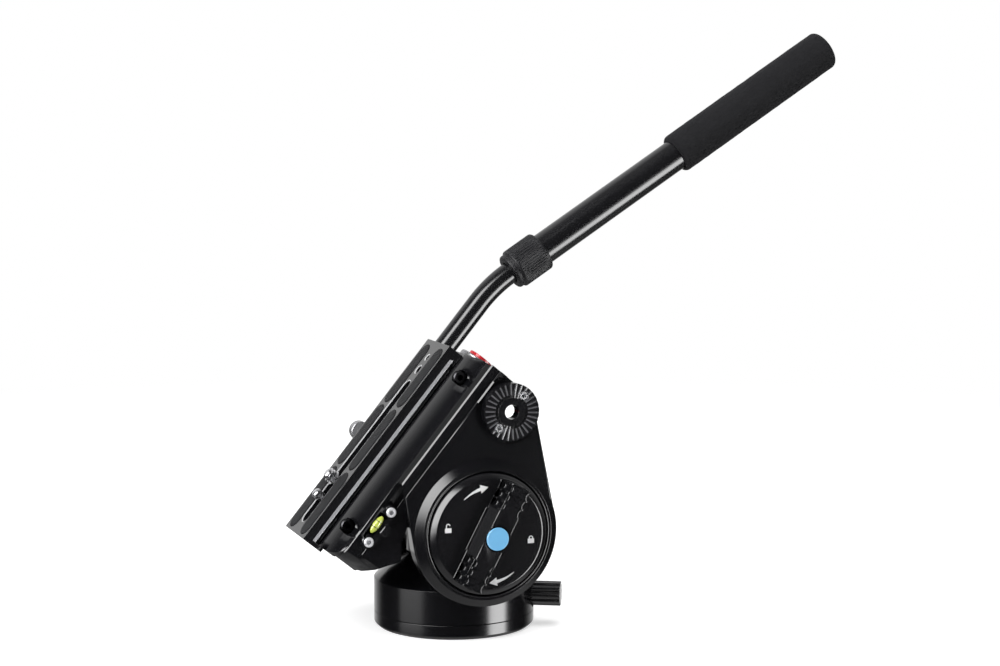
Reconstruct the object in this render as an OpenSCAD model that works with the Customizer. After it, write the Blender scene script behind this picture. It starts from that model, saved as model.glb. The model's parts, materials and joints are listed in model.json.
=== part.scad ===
// Fluid video head with a pan handle: all sizes in millimetres.
// Origin: middle of the bottom face, on the pan axis. +Z up, -X camera front, -Y lock knob side.

/* [Base] */
// Outer diameter of the round base
base_d = 75; // [70:0.5:84]
// Height of the fixed bottom disc
base_disc_h = 6.7; // [5:0.1:9]
// Height of the turning pan housing
housing_h = 16.3; // [15:0.1:20]
// Chamfer on the bottom rim
base_chamfer = 1.6; // [0.5:0.1:3]
// Core diameter of the tapped tripod hole
tripod_hole_d = 8; // [6:0.1:9.5]

/* [Pan lock] */
// Direction of the pan lock knob round the base
pan_knob_angle = -27; // [-45:1:-10]
// Diameter of the pan lock knob
pan_knob_d = 11.4; // [9:0.1:13]
// Reach of the pan lock knob beyond the rim
pan_knob_reach = 13; // [10:0.1:18]

/* [Tilt] */
// Height of the tilt axis over the bottom face
tilt_axis_h = 51; // [50:0.1:58]
// Forward tilt of the platform in the rest pose
tilt_angle = 50.5; // [30:0.5:55]
// Diameter of the drag drum on the tilt axis
drum_d = 48; // [44:0.5:52]
// Thickness of each side cheek
cheek_t = 7.5; // [7:0.1:10]
// Radius of the round part of each cheek
cheek_r = 34; // [33:0.1:38]
// Radius of the ear that carries a rosette
ear_r = 12.6; // [12:0.1:15]

/* [Tilt lock] */
// Diameter of the tilt lock knob
knob_d = 55.4; // [50:0.2:58]
// Height of the wing bar over the knob face
wing_h = 9.5; // [6:0.1:12]
// Width of the wing bar
wing_w = 10.2; // [8:0.1:13]
// Direction of the wing bar, up from the front-to-rear line
wing_angle = 62; // [0:1:180]

/* [Platform] */
// Front end of the tilt frame, ahead of the tilt axis
frame_front = 48.8; // [45:0.1:56]
// Rear end of the tilt frame, behind the tilt axis
frame_rear = 60.5; // [60:0.1:68]
// Height of the parting plane over the tilt axis
deck_n = 45.5; // [44:0.1:50]
// Height of the rounded shoulders over the parting plane
shoulder_h = 6; // [5:0.1:7]
// Width of the receiver over both shoulders
receiver_w = 72; // [66:0.5:75]

/* [Plate] */
// Width of the top of the sliding plate
plate_w = 32; // [30:0.2:36]
// Thickness of the sliding plate
plate_t = 9.8; // [9:0.1:12]
// Front end of the plate, ahead of the tilt axis
plate_front = 51.4; // [50:0.1:60]
// Rear end of the plate, behind the tilt axis
plate_rear = 58.3; // [57:0.1:66]
// Thread diameter of the camera screw
camera_screw_d = 6.35; // [5:0.05:6.4]
// Height of the camera screw over the plate
camera_screw_h = 5.2; // [4:0.1:8]

/* [Handle] */
// Distance of the rosette behind the tilt axis
rose_l = 49; // [48:0.1:54]
// Height of the rosette over the tilt axis
rose_n = 26.5; // [24:0.1:28]
// Diameter of each rosette
rose_d = 26; // [24:0.2:28]
// Distance of the handle bend behind the tilt axis
bend_l = 104; // [98:0.1:130]
// Angle of the handle bend
bend_angle = 17.7; // [5:0.1:30]
// Outer diameter of the inner tube
inner_tube_d = 11; // [10:0.1:12.5]
// Outer diameter of the outer tube
outer_tube_d = 16; // [15.4:0.1:17]
// Distance of the grip from the bend
grip_start = 117.7; // [110:0.1:140]
// Length of the foam grip
grip_len = 100.4; // [80:0.1:130]
// Diameter of the foam grip
grip_d = 20.8; // [19.5:0.1:26]

/* [Hidden] */
$fn = 64;

black = "#1b1c1e";
dark = "#26272a";
steel = "#b9bcc0";
bronze = "#a9854f";

// Clearances: seated parts, turning shafts, sliding flats and free gaps
seat_fit = 0.02;
run_fit = 0.05;
flat_gap = 0.2;
free_gap = 0.5;
over = 1;

// Base heights and radii
base_r = base_d / 2;
housing_z = base_disc_h + 0.3;
housing_top = housing_z + housing_h;
insert_r = tripod_hole_d / 2 + 3;
insert_h = base_disc_h + 5.3;
brake_r = insert_r + 8;
brake_top = housing_z + 10;
post_r = brake_r - 5;
nut_z = housing_top + 1;
nut_r = post_r + 2.5;
stud_r = post_r - 2;
stud_top = nut_z + 5.2;
base_screw_at = (insert_r + brake_r) / 2 + 0.2;
hub_z = brake_top + 0.5;
hub_in = post_r + 3;
hub_out = hub_in + 3;
rib_in = hub_out + 7;
rib_out = base_r - 6.5;
wall_in = base_r - 3.7;
rib_z = base_disc_h + 2.3;
roof_z = housing_top - 4;
column_screw_at = (hub_out + rib_in) / 2;
pan_z = housing_z + housing_h / 2 - 0.5;
pan_screw_r = 3;
shoe_in = brake_r + 0.4;
shoe_out = shoe_in + 4.1;
pan_knob_in = base_r - 1.1;
pan_screw_end = base_r + 8.5;

// Column and drum
neck_r = base_r - 1;
pillar_r = drum_d / 2 - 1.5;
neck_h = (neck_r - pillar_r) * 0.87;
drum_r = drum_d / 2;
drum_half = base_r;
drum_bore = drum_r - 4;
core_half = drum_half - 11.5;
axle_r = 7;
bush_r = axle_r + 3;
rotor_r = min(drum_bore - 0.4, tilt_axis_h - stud_top - 1);
rotor_half = core_half - 1;

// Cheeks, across the head
cheek_in = base_r + free_gap;
cheek_out = cheek_in + cheek_t;
strip_out = cheek_out - 1;
strip_n = deck_n - 4.75;
top_front = -6;
pocket_y = cheek_out - 3;
lip_r = knob_d / 2 + free_gap;
bezel_r = cheek_r - 0.3;
pad_r = 22;
pad_pocket = cheek_in + 1.9;
pin_at = 16;
pin_r = 2;
ear_d = norm([rose_l, rose_n]);
ear_turn = atan2(rose_n, rose_l) - acos((cheek_r - ear_r) / ear_d);
wall_turn = atan2(deck_n, top_front) + acos(cheek_r / norm([deck_n, top_front]));

// Tilt lock knob, across the head
knob_r = knob_d / 2;
knob_back = pocket_y + 0.3;
knob_face = cheek_out + 6;
axle_stud_r = 4;
dot_r = 5.2;
notch_r = 2.2;

// Platform heights over the tilt axis
frame_low = deck_n - 11.5;
frame_wall = 5;
panel_step = 0.5;
panel_step_n = deck_n - 7.2;
top_wall_n = deck_n - 4.5;
foot_n = deck_n - 24.3;
floor_n = deck_n + 1.7;
shoulder_n = deck_n + shoulder_h;
plate_bot = floor_n + 0.3;
plate_top = plate_bot + plate_t;
rail_top = plate_top - 4;
plate_half = plate_w / 2;
flange_half = plate_half + 2.5;
flange_n = plate_bot + 1.6;
rail_in = plate_half + free_gap;
rail_foot = flange_half + 0.3;
rail_out = rail_foot + 2;
rail_rear = frame_rear - 6.8;
receiver_front = frame_front + 0.7;
channel_half = rail_out + 0.7;
shoulder_run = receiver_w / 2 - channel_half;
shoulder_turn = 2 * atan(shoulder_h / shoulder_run);
shoulder_r = shoulder_run / sin(shoulder_turn);
rail_screw_n = deck_n + 3.2;
rail_screw_y = receiver_w / 2 - 9;
corner_r = 8;
slope_sum = flange_half + flange_n + flat_gap * sqrt(2);

// Plate lock on the far side
plate_knob_l = 6;
plate_knob_n = floor_n + 1.3;
plate_knob_r = 4.8;
plate_knob_in = cheek_in + 0.6;
plate_knob_h = 5.6;
plate_screw_r = 1.15;

// Safety catch
button_n = deck_n - 9.5;
button_r = 6;
button_in = frame_rear - 2.5;
button_out = frame_rear + 4.8;
collar_reach = 2.9;
stem_r = 4;
stem_front = 14.5;
spring_seat = frame_rear - 13.5;
boss_front = frame_rear - 20.5;
latch_l = 21.3;
latch_r = 3;
tail_r = 1.5;
ramp_n = button_n + 3;
latch_n = button_n + 6.3;
latch_top = plate_bot + 2;
rear_wall_low = button_n - 9;

// Camera fittings on the plate
recess_n = plate_bot + 4.8;
recess_half = 7.5;
slot_half = camera_screw_d / 2 + 0.25;
slot_front = -45;
slot_rear = 36;
recess_front = slot_front - 2;
recess_rear = slot_rear + 2;
screw_l = -20.8;
screw_neck_r = camera_screw_d / 2 - 0.3;
pin_l = -31.1;
pin_d = 5;
pad_ends = [[-50, -15.6], [-14, 20.4], [22, 55.6]];
pad_y = 9.5;
pad_w = 9.6;
pad_depth = 1;
pad_proud = 0.5;

// Level on the near side
level_in = cheek_in - panel_step;
level_out = level_in + 3.6;
level_n = deck_n - 5.1;
level_screws_l = [-35.2, -18.8];
vial_n = deck_n - 3.2;
vial_r = 1.9;
vial_ends = [-31.4, -22.2];

// Rosettes and handle
rose_r = rose_d / 2;
rose_hub = 6.4;
rose_out = cheek_out + 4.5;
rose_back = cheek_out - 1.5;
rose_hole_r = 3.3;
rose_teeth = 30;
tooth_w = sqrt(2) * rose_hub * sin(180 / rose_teeth) - 0.07;
tooth_lift = 0.08;
rose_screw_at = 9.1;
handle_face = rose_out + 0.3;
handle_y = rose_out + 10;
handle_n = rose_n + 7;
barrel_r = inner_tube_d / 2 + 2.5;
clamp_out = handle_y + barrel_r + 0.2;
disc_out = handle_face + 13.5;
barrel_start = rose_l + 4;
barrel_end = rose_l + 15;
handle_knob_r = 7.5;
handle_knob_h = 9;
bolt_r = rose_hole_r - run_fit;
bend_r = 70;
bend_run = bend_r * tan(bend_angle / 2);
bend_step = 0.03;
inner_end = bend_run + 111;
inner_r = inner_tube_d / 2;
outer_r = outer_tube_d / 2;
collar_start = bend_run + 0.5;
collar_len = 20;
collar_r = outer_r + 2.2;
tube_start = collar_start + 1.8;
tube_bore = inner_r + 0.8;
collet_len = 10;
tube_end = grip_start + grip_len - 3.8;
grip_r = grip_d / 2;
grip_round = grip_r - outer_r - 0.3;

// Placing helpers: l runs up the platform, y across the head, n square to the plate
module in_tilt() {
  translate([0, 0, tilt_axis_h]) rotate([0, -tilt_angle, 0]) children();
}

// Flat outline in l and n, between two distances from the middle on the near side
module slab(a, b) {
  translate([0, -a, 0]) rotate([90, 0, 0]) linear_extrude(b - a) children();
}

// Round bar across the head on the near side
module bar(r, a, b) {
  translate([0, -a, 0]) rotate([90, 0, 0]) cylinder(r = r, h = b - a);
}

// Turned shape about an axis across the head, drawn as radius and distance from the middle
module turned() {
  rotate([90, 0, 0]) rotate_extrude() children();
}

// Section in y and n drawn out along l
module along(a, b) {
  translate([a, 0, 0]) rotate([90, 0, 90]) linear_extrude(b - a) children();
}

// Round bar along l
module rod(r, a, b) {
  translate([a, 0, 0]) rotate([0, 90, 0]) cylinder(r = r, h = b - a);
}

module far_side() {
  mirror([0, 1, 0]) children();
}

module both_sides() {
  children();
  far_side() children();
}

module at(l, n) {
  translate([l, 0, n]) children();
}

module on_pan_lock() {
  rotate([0, 0, pan_knob_angle]) translate([0, 0, pan_z]) rotate([0, 90, 0]) children();
}

// Handle frame: z runs along the outer part of the handle from the bend
module on_handle() {
  in_tilt() translate([bend_l, handle_y, handle_n]) rotate([0, bend_angle, 0])
    rotate([0, 90, 0]) children();
}

module ring(r_in, r_out, z0, z1) {
  translate([0, 0, z0]) difference() {
    cylinder(r = r_out, h = z1 - z0);
    translate([0, 0, -over]) cylinder(r = r_in, h = z1 - z0 + 2 * over);
  }
}

// Round knob outline with shallow flutes
module fluted(r, flutes, flute_r) {
  difference() {
    circle(r);
    for (i = [0 : flutes - 1]) {
      rotate(i * 360 / flutes) translate([r + flute_r * 0.55, 0]) circle(flute_r);
    }
  }
}

module base_screw_places() {
  for (i = [0 : 2]) {
    rotate(i * 120 + 30) translate([base_screw_at, 0, 0]) children();
  }
}

module column_screw_places() {
  for (i = [0 : 3]) {
    rotate(i * 90 + 45) translate([column_screw_at, 0, 0]) children();
  }
}

// Base
module base_plate() {
  color(black) difference() {
    rotate_extrude() polygon([
      [insert_r + seat_fit, 0], [base_r - base_chamfer, 0], [base_r, base_chamfer],
      [base_r, base_disc_h], [insert_r + seat_fit, base_disc_h]]);
    base_screw_places() {
      translate([0, 0, -over]) cylinder(r = 3.6, h = over + 2.9);
      cylinder(r = 2 + seat_fit, h = base_disc_h + over);
    }
  }
}

module tripod_insert() {
  color(steel) ring(tripod_hole_d / 2, insert_r, 0, insert_h);
}

module pan_spindle() {
  color(steel) difference() {
    rotate_extrude() polygon([
      [insert_r + seat_fit, base_disc_h], [brake_r, base_disc_h], [brake_r, brake_top],
      [post_r, brake_top], [post_r, nut_z], [stud_r, nut_z], [stud_r, stud_top],
      [0, stud_top], [0, insert_h + 0.2], [insert_r + seat_fit, insert_h + 0.2]]);
    base_screw_places() translate([0, 0, base_disc_h - over])
      cylinder(r = 2 + seat_fit, h = over + 6);
  }
}

module base_screws() {
  color(steel) base_screw_places() {
    translate([0, 0, 0.3]) cylinder(r = 3.4, h = 2.6);
    translate([0, 0, 2.9]) cylinder(r = 2, h = base_disc_h + 2.6);
  }
}

module pan_friction_ring() {
  color("#8d8672") ring(rib_in - 3, rib_out + 1.5, base_disc_h, rib_z - 0.3);
}

module spindle_nut() {
  color(steel) difference() {
    translate([0, 0, nut_z]) cylinder(r = nut_r, h = 4.5, $fn = 6);
    cylinder(r = stud_r + seat_fit, h = nut_z + 9);
  }
}

// Pan stage
module pan_housing() {
  color(black) difference() {
    rotate_extrude() polygon([
      [wall_in, housing_z], [base_r, housing_z], [base_r, housing_top - 1],
      [base_r - 1, housing_top], [hub_in, housing_top], [hub_in, hub_z], [hub_out, hub_z],
      [hub_out, roof_z], [rib_in, roof_z], [rib_in, rib_z], [rib_out, rib_z],
      [rib_out, roof_z], [wall_in, roof_z]]);
    on_pan_lock() {
      cylinder(r = pan_screw_r + run_fit, h = base_r + over);
      translate([0, 0, base_r - 1.6]) cylinder(r = pan_knob_d / 2 + 0.9, h = 6);
    }
    column_screw_places() cylinder(r = 1.5 + seat_fit, h = housing_top + over);
  }
}

module tilt_column() {
  color(black) difference() {
    union() {
      rotate_extrude() polygon([
        [0, housing_top], [neck_r, housing_top], [pillar_r, housing_top + neck_h],
        [pillar_r, tilt_axis_h], [0, tilt_axis_h]]);
      translate([0, 0, tilt_axis_h]) bar(drum_r, -drum_half, drum_half);
    }
    translate([0, 0, housing_top - over]) cylinder(r = nut_r + 1, h = tilt_axis_h - housing_top);
    translate([0, 0, tilt_axis_h]) {
      bar(drum_bore, -drum_half - over, core_half);
      bar(bush_r + seat_fit, 0, drum_half + over);
    }
    column_screw_places() translate([0, 0, housing_top - over])
      cylinder(r = 1.5 + seat_fit, h = over + 6.2);
  }
}

module column_screws() {
  color(steel) column_screw_places() {
    translate([0, 0, roof_z - 2.5]) cylinder(r = 2.6, h = 2.5);
    translate([0, 0, roof_z]) cylinder(r = 1.5, h = housing_top - roof_z + 6);
  }
}

module pan_bush() {
  color(bronze) ring(post_r + run_fit, hub_in - seat_fit, hub_z, nut_z - 0.3);
}

module tilt_bushes() {
  color(bronze) translate([0, 0, tilt_axis_h]) both_sides() difference() {
    bar(bush_r, core_half, drum_half);
    bar(axle_r + run_fit, core_half - over, drum_half + over);
  }
}

module drum_cap() {
  color(dark) translate([0, 0, tilt_axis_h]) far_side() difference() {
    bar(drum_bore - seat_fit, core_half, drum_half);
    bar(bush_r + seat_fit, core_half - over, drum_half + over);
  }
}

// Pan lock
module pan_lock_screw() {
  color(steel) on_pan_lock() translate([0, 0, shoe_out])
    cylinder(r = pan_screw_r, h = pan_screw_end - shoe_out);
}

module pan_brake_shoe() {
  color(bronze) on_pan_lock() translate([-2, -3, shoe_in])
    cube([4, 6, shoe_out - shoe_in]);
}

module pan_lock_knob() {
  color(dark) on_pan_lock() difference() {
    translate([0, 0, pan_knob_in]) linear_extrude(base_r + pan_knob_reach - pan_knob_in)
      fluted(pan_knob_d / 2, 10, 1.5);
    cylinder(r = pan_screw_r + run_fit, h = pan_screw_end + 0.3);
  }
}

// Tilt frame: a hollow block under the receiver with rounded front corners
module frame_plan(inset) {
  c = corner_r - inset / 2;
  front = -frame_front + inset;
  half = cheek_in - inset;
  rear = frame_rear - inset;
  translate([front + c, -half]) square([rear - front - c, 2 * half]);
  translate([front, -half + c]) square([c + over, 2 * half - 2 * c]);
  for (s = [-1, 1]) {
    translate([front + c, s * (half - c)]) circle(c);
  }
}

// Front foot of the side walls as seen from the side
module foot_outline() {
  polygon([[-frame_front, deck_n], [-frame_front, deck_n - 9.7], [-frame_front + 1.6, deck_n - 12.8],
    [-frame_front + 6, deck_n - 17], [-frame_front + 11, deck_n - 20.6], [-frame_front + 15.4, foot_n],
    [-cheek_r + 8, deck_n - 18.5], [0, frame_low], [0, deck_n]]);
}

module tilt_frame() {
  color(black) in_tilt() difference() {
    union() {
      difference() {
        translate([0, 0, frame_low]) linear_extrude(deck_n - frame_low) frame_plan(0);
        translate([0, 0, frame_low - over]) linear_extrude(top_wall_n - frame_low + over)
          frame_plan(frame_wall);
      }
      intersection() {
        both_sides() slab(cheek_in - frame_wall, cheek_in) foot_outline();
        linear_extrude(deck_n) frame_plan(0);
      }
      translate([frame_rear - frame_wall, -cheek_in, rear_wall_low])
        cube([frame_wall, 2 * cheek_in, frame_low - rear_wall_low + over]);
      at(0, button_n) rod(button_r + 2.2, boss_front, frame_rear);
    }
    at(0, button_n) rod(stem_r + run_fit, boss_front - over, frame_rear);
    at(0, button_n) rod(button_r + 0.1, spring_seat, frame_rear + over);
    at(latch_l, frame_low) cylinder(r = latch_r + run_fit, h = deck_n - frame_low + over);
    receiver_screw_places() translate([0, 0, deck_n - 4]) cylinder(r = 1.5 + seat_fit, h = 4 + over);
    both_sides() translate([-frame_front - over, -cheek_in - over, panel_step_n])
      cube([frame_front + top_front, over + panel_step, deck_n - panel_step_n + over]);
    cheek_screw_places() bar(2 + seat_fit, cheek_in - frame_wall - over, cheek_in + over);
  }
}

// Cheek outline: round tilt housing, rosette ear and straight top edge
module cheek_outline() {
  circle(cheek_r);
  translate([rose_l, rose_n]) circle(ear_r);
  polygon([[0, 0], cheek_r * [cos(wall_turn), sin(wall_turn)], [top_front, deck_n],
    [frame_rear, deck_n], [frame_rear, rose_n],
    [rose_l, rose_n] + ear_r * [cos(ear_turn), sin(ear_turn)],
    cheek_r * [cos(ear_turn), sin(ear_turn)]]);
}

module cheek_screw_places() {
  for (l = [12, frame_rear - 15.5]) {
    at(l, frame_low + 3.4) both_sides() children();
  }
}

module rose_screw_places() {
  for (s = [-1, 1]) {
    at(rose_l + s * rose_screw_at, rose_n) children();
  }
}

module cheek_body() {
  difference() {
    union() {
      slab(cheek_in, strip_out) cheek_outline();
      slab(strip_out, cheek_out) intersection() {
        cheek_outline();
        translate([-2 * cheek_r, strip_n - 4 * cheek_r]) square(4 * cheek_r);
      }
    }
    bar(lip_r + flat_gap, pocket_y, cheek_out + over);
    bar(axle_r + seat_fit, cheek_in - over, cheek_out);
    at(rose_l, rose_n) difference() {
      bar(rose_r + 2.2, strip_out, cheek_out + over);
      bar(rose_r - 1, strip_out - over, cheek_out + 2 * over);
    }
    at(rose_l, rose_n) bar(8, cheek_in - over, rose_back);
    at(rose_l, rose_n) bar(rose_hole_r, cheek_in, cheek_out + over);
    rose_screw_places() bar(1.25 + seat_fit, cheek_in + 3, cheek_out + over);
    cheek_screw_places() bar(2 + seat_fit, cheek_in - over, cheek_in + 4.2);
  }
}

module brake_pin_places() {
  for (i = [0 : 2]) {
    rotate([0, i * 120, 0]) at(pin_at, 0) children();
  }
}

module near_cheek() {
  color(black) in_tilt() difference() {
    cheek_body();
    bar(pad_r + free_gap, cheek_in - over, pad_pocket);
    brake_pin_places() bar(pin_r + 0.3, cheek_in, pocket_y + over);
  }
}

module far_cheek() {
  color(black) in_tilt() far_side() difference() {
    cheek_body();
    at(plate_knob_l, plate_knob_n) bar(plate_knob_r + 0.8, cheek_in - over, cheek_out + over);
  }
}

module cheek_screws() {
  color(steel) in_tilt() cheek_screw_places() {
    bar(3.4, cheek_in - frame_wall - 2.5, cheek_in - frame_wall);
    bar(2, cheek_in - frame_wall, cheek_in + 4);
  }
}

// Receiver: a channel between two rounded shoulders
module receiver_half() {
  translate([0, deck_n]) square([channel_half, floor_n - deck_n]);
  intersection() {
    translate([channel_half, shoulder_n - shoulder_r]) circle(shoulder_r);
    translate([channel_half - 0.01, deck_n]) square([shoulder_run + over, shoulder_h + over]);
  }
}

module receiver_screw_places() {
  for (l = [-32, 30], s = [-1, 1]) {
    translate([l, s * 12, 0]) children();
  }
}

module rail_screw_places() {
  for (l = [-34.9, frame_rear - 12]) {
    at(l, rail_screw_n) children();
  }
}

// Corner cutter that rounds an upright edge of the receiver
module corner_cut(r) {
  translate([0, 0, deck_n - over]) linear_extrude(shoulder_h + 2 * over) difference() {
    translate([-over, -over]) square([r + over, r + over]);
    translate([r, r]) circle(r);
  }
}

module receiver() {
  color(black) in_tilt() difference() {
    along(-receiver_front, frame_rear) {
      receiver_half();
      mirror([1, 0]) receiver_half();
    }
    both_sides() {
      translate([-receiver_front, -receiver_w / 2, 0]) corner_cut(corner_r);
      translate([frame_rear, -receiver_w / 2, 0]) mirror([1, 0, 0]) corner_cut(corner_r - 2);
    }
    rail_screw_places() {
      bar(3.6, rail_screw_y, receiver_w);
      bar(2 + seat_fit, channel_half - over, rail_screw_y + over);
    }
    receiver_screw_places() {
      translate([0, 0, deck_n - over]) cylinder(r = 1.5 + seat_fit, h = 4);
      translate([0, 0, floor_n - 1.5]) cylinder(r1 = 1.5 + seat_fit, r2 = 3 + seat_fit, h = 1.5);
    }
    at(latch_l, deck_n - over) cylinder(r = latch_r + run_fit, h = 4);
    at(plate_knob_l, plate_knob_n) far_side()
      bar(plate_screw_r + run_fit, channel_half - over, receiver_w);
  }
}

module receiver_screws() {
  color(steel) in_tilt() receiver_screw_places() {
    translate([0, 0, deck_n - 3.9]) cylinder(r = 1.5, h = 3.9 + floor_n - 1.5 - deck_n);
    translate([0, 0, floor_n - 1.5]) cylinder(r1 = 1.5, r2 = 2.95, h = 1.45);
  }
}

// Rail section on the far half: foot on the floor, sloped lip over the plate flange
module rail_half() {
  polygon([[rail_foot, floor_n], [rail_out, floor_n], [rail_out, rail_top], [rail_in, rail_top],
    [rail_in, slope_sum - rail_in], [rail_foot, slope_sum - rail_foot]]);
}

module fixed_rail() {
  color(steel) in_tilt() along(-receiver_front, rail_rear) mirror([1, 0]) rail_half();
}

module rail_screws() {
  color(steel) in_tilt() rail_screw_places() {
    bar(3, rail_screw_y, rail_screw_y + 2.6);
    bar(2, rail_out, rail_screw_y);
  }
}

// Tilt axle and the fluid drag rotor on it
module tilt_axle() {
  color(steel) in_tilt() {
    bar(axle_r, -pocket_y, pocket_y);
    bar(axle_stud_r, pocket_y, pocket_y + 6);
  }
}

module drag_rotor() {
  color(bronze) in_tilt() difference() {
    bar(rotor_r, -rotor_half, rotor_half);
    bar(axle_r + seat_fit, -rotor_half - over, rotor_half + over);
  }
}

module lock_bezel() {
  color(black) in_tilt() turned() polygon([[lip_r, cheek_out], [bezel_r, cheek_out],
    [lip_r + 1.2, cheek_out + 2.8], [lip_r + 1.2, cheek_out + 3.3], [lip_r, cheek_out + 3.3]]);
}

module cover_screw_places() {
  for (i = [0 : 2]) {
    rotate([0, i * 120 + 30, 0]) at(19, 0) children();
  }
}

module far_cover() {
  color(black) in_tilt() far_side() difference() {
    turned() polygon([[0, cheek_out], [bezel_r, cheek_out], [lip_r + 1.2, cheek_out + 2.8],
      [0, cheek_out + 3.2]]);
    cover_screw_places() bar(2 + seat_fit, cheek_out - over, cheek_out + 4);
    cover_screw_places() bar(3.5, cheek_out + 1.4, cheek_out + 4);
  }
}

module cover_screws() {
  color(steel) in_tilt() far_side() cover_screw_places() {
    bar(3.3, cheek_out + 1.4, cheek_out + 3);
    bar(2, pocket_y + flat_gap, cheek_out + 1.4);
  }
}

// Rosettes: rings of radial teeth round a smooth hub
module teeth_cut(face) {
  for (i = [0 : rose_teeth - 1]) {
    rotate([0, (i + 0.5) * 360 / rose_teeth, 0]) translate([rose_hub, -face - tooth_lift, 0])
      rotate([45, 0, 0]) translate([0, -tooth_w / 2, -tooth_w / 2])
        cube([rose_r, tooth_w, tooth_w]);
  }
}

module rosette_body() {
  at(rose_l, rose_n) difference() {
    bar(rose_r, cheek_out, rose_out);
    bar(rose_hole_r, cheek_out - over, rose_out + over);
    teeth_cut(rose_out);
    for (s = [-1, 1]) {
      at(s * rose_screw_at, 0) {
        bar(2.3, rose_out - 2.2, rose_out + over);
        bar(1.25 + seat_fit, cheek_out - over, rose_out);
      }
    }
  }
}

module near_rosette() {
  color(dark) in_tilt() rosette_body();
}

module far_rosette() {
  color(dark) in_tilt() far_side() rosette_body();
}

module rosette_screws() {
  color(steel) in_tilt() both_sides() rose_screw_places() {
    bar(2.1, rose_out - 2.2, rose_out - 0.5);
    bar(1.25, cheek_in + 3.2, rose_out - 2.2);
  }
}

// Spirit level on the near side
module level_housing() {
  color(black) in_tilt() difference() {
    union() {
      for (l = level_screws_l) {
        at(l, level_n) bar(3, level_in, level_out);
      }
      slab(level_in, level_out) translate([level_screws_l[0], level_n - 3])
        square([level_screws_l[1] - level_screws_l[0], 7]);
    }
    at(0, vial_n) translate([0, -level_out + 0.6, 0])
      rod(vial_r + flat_gap, vial_ends[0] - 0.4, vial_ends[1] + 0.4);
    slab(level_in - over, cheek_in) translate([-frame_front, panel_step_n - 2 * over])
      square([frame_front + top_front, 2 * over + run_fit]);
    for (l = level_screws_l) {
      at(l, level_n) bar(1.2 + seat_fit, level_in - over, level_out + over);
    }
  }
}

module level_vial() {
  color("#c9d64a") in_tilt() at(0, vial_n) translate([0, -level_out + 0.6, 0])
    rod(vial_r, vial_ends[0], vial_ends[1]);
}

module level_screws() {
  color(steel) in_tilt() for (l = level_screws_l) {
    at(l, level_n) bar(2.2, level_out, level_out + 1.1);
    at(l, level_n) bar(1.2, level_in, level_out);
  }
}

module button_collar() {
  color("#6d7074") in_tilt() at(0, button_n) difference() {
    rod(button_r + 1.8, frame_rear, frame_rear + collar_reach);
    rod(button_r + 0.3, frame_rear - over, frame_rear + collar_reach + over);
  }
}

module button_spring() {
  color(steel) in_tilt() at(0, button_n) difference() {
    rod(button_r - 0.3, spring_seat, button_in - 3.2);
    rod(stem_r + 0.3, spring_seat - over, button_in);
  }
}

// Tilt lock knob with its wing bar
module tilt_lock_knob() {
  color(dark) translate([0, 0, tilt_axis_h]) difference() {
    union() {
      turned() polygon([[0, knob_face], [knob_r - 2.7, knob_face], [knob_r, knob_face - 2.3],
        [knob_r, knob_back], [knob_r - 3.2, knob_back], [knob_r - 3.2, knob_face - 3],
        [axle_stud_r + 5, knob_face - 3], [axle_stud_r + 5, knob_back], [0, knob_back]]);
      intersection() {
        rotate([0, -wing_angle, 0]) wing_bar();
        bar(knob_r - 2.2, knob_face - 2 * over, knob_face + wing_h + over);
      }
    }
    bar(axle_stud_r + run_fit, 0, pocket_y + 6.4);
    bar(dot_r + seat_fit, knob_face + wing_h - 0.6, knob_face + wing_h + over);
  }
}

// Wing bar with sloped flanks and finger notches near both ends
module wing_bar() {
  top = knob_face + wing_h;
  foot_half = wing_w / 2 + wing_h * 0.2;
  difference() {
    along(-knob_r, knob_r) polygon([[-knob_face + over, -foot_half], [-knob_face, -foot_half],
      [-top, -wing_w / 2], [-top, wing_w / 2], [-knob_face, foot_half], [-knob_face + over, foot_half]]);
    for (sx = [-1, 1], sz = [-1, 1], i = [0 : 2]) {
      at(sx * (knob_r - 5.2 - 4.2 * i), sz * (wing_w / 2 + 1)) bar(notch_r, knob_face, top + over);
    }
  }
}

module knob_dot() {
  color("#4f9fd6") translate([0, 0, tilt_axis_h])
    bar(dot_r, knob_face + wing_h - 0.6, knob_face + wing_h + 0.4);
}

module tilt_brake_pad() {
  color(bronze) in_tilt() {
    difference() {
      bar(pad_r, drum_half + 0.1, drum_half + 1.9);
      bar(axle_r + 3, drum_half, drum_half + 3);
    }
    brake_pin_places() bar(pin_r, drum_half + 1.9, pocket_y - 0.5);
  }
}

// Safety catch: a red button with a ramp that lets the latch drop
module safety_button() {
  color("#b3222a") in_tilt() difference() {
    at(0, button_n) {
      rod(button_r, button_in, button_out);
      rod(stem_r, stem_front, button_in);
    }
    slab(-stem_r - over, stem_r + over) polygon([[latch_l - 3, ramp_n + 3],
      [latch_l + 4.8, ramp_n - 4.8], [latch_l + 4.8, ramp_n], [latch_l + 6.6, ramp_n],
      [latch_l + 6.6, ramp_n + 3]]);
  }
}

module safety_latch() {
  color(steel) in_tilt() {
    at(latch_l, latch_n) cylinder(r = latch_r, h = latch_top - latch_n);
    difference() {
      at(latch_l, button_n) cylinder(r = tail_r, h = latch_n - button_n);
      slab(-latch_r, latch_r) polygon([[latch_l - 3, ramp_n + 3 + run_fit],
        [latch_l + 3, ramp_n - 3 + run_fit], [latch_l + 3, button_n - over],
        [latch_l - 3, button_n - over]]);
    }
  }
}

// Plate lock on the far side
module clamp_jaw() {
  color(steel) in_tilt() difference() {
    along(-receiver_front, rail_rear) rail_half();
    at(plate_knob_l, plate_knob_n) far_side() bar(plate_screw_r + run_fit, 0, rail_out + over);
  }
}

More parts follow.
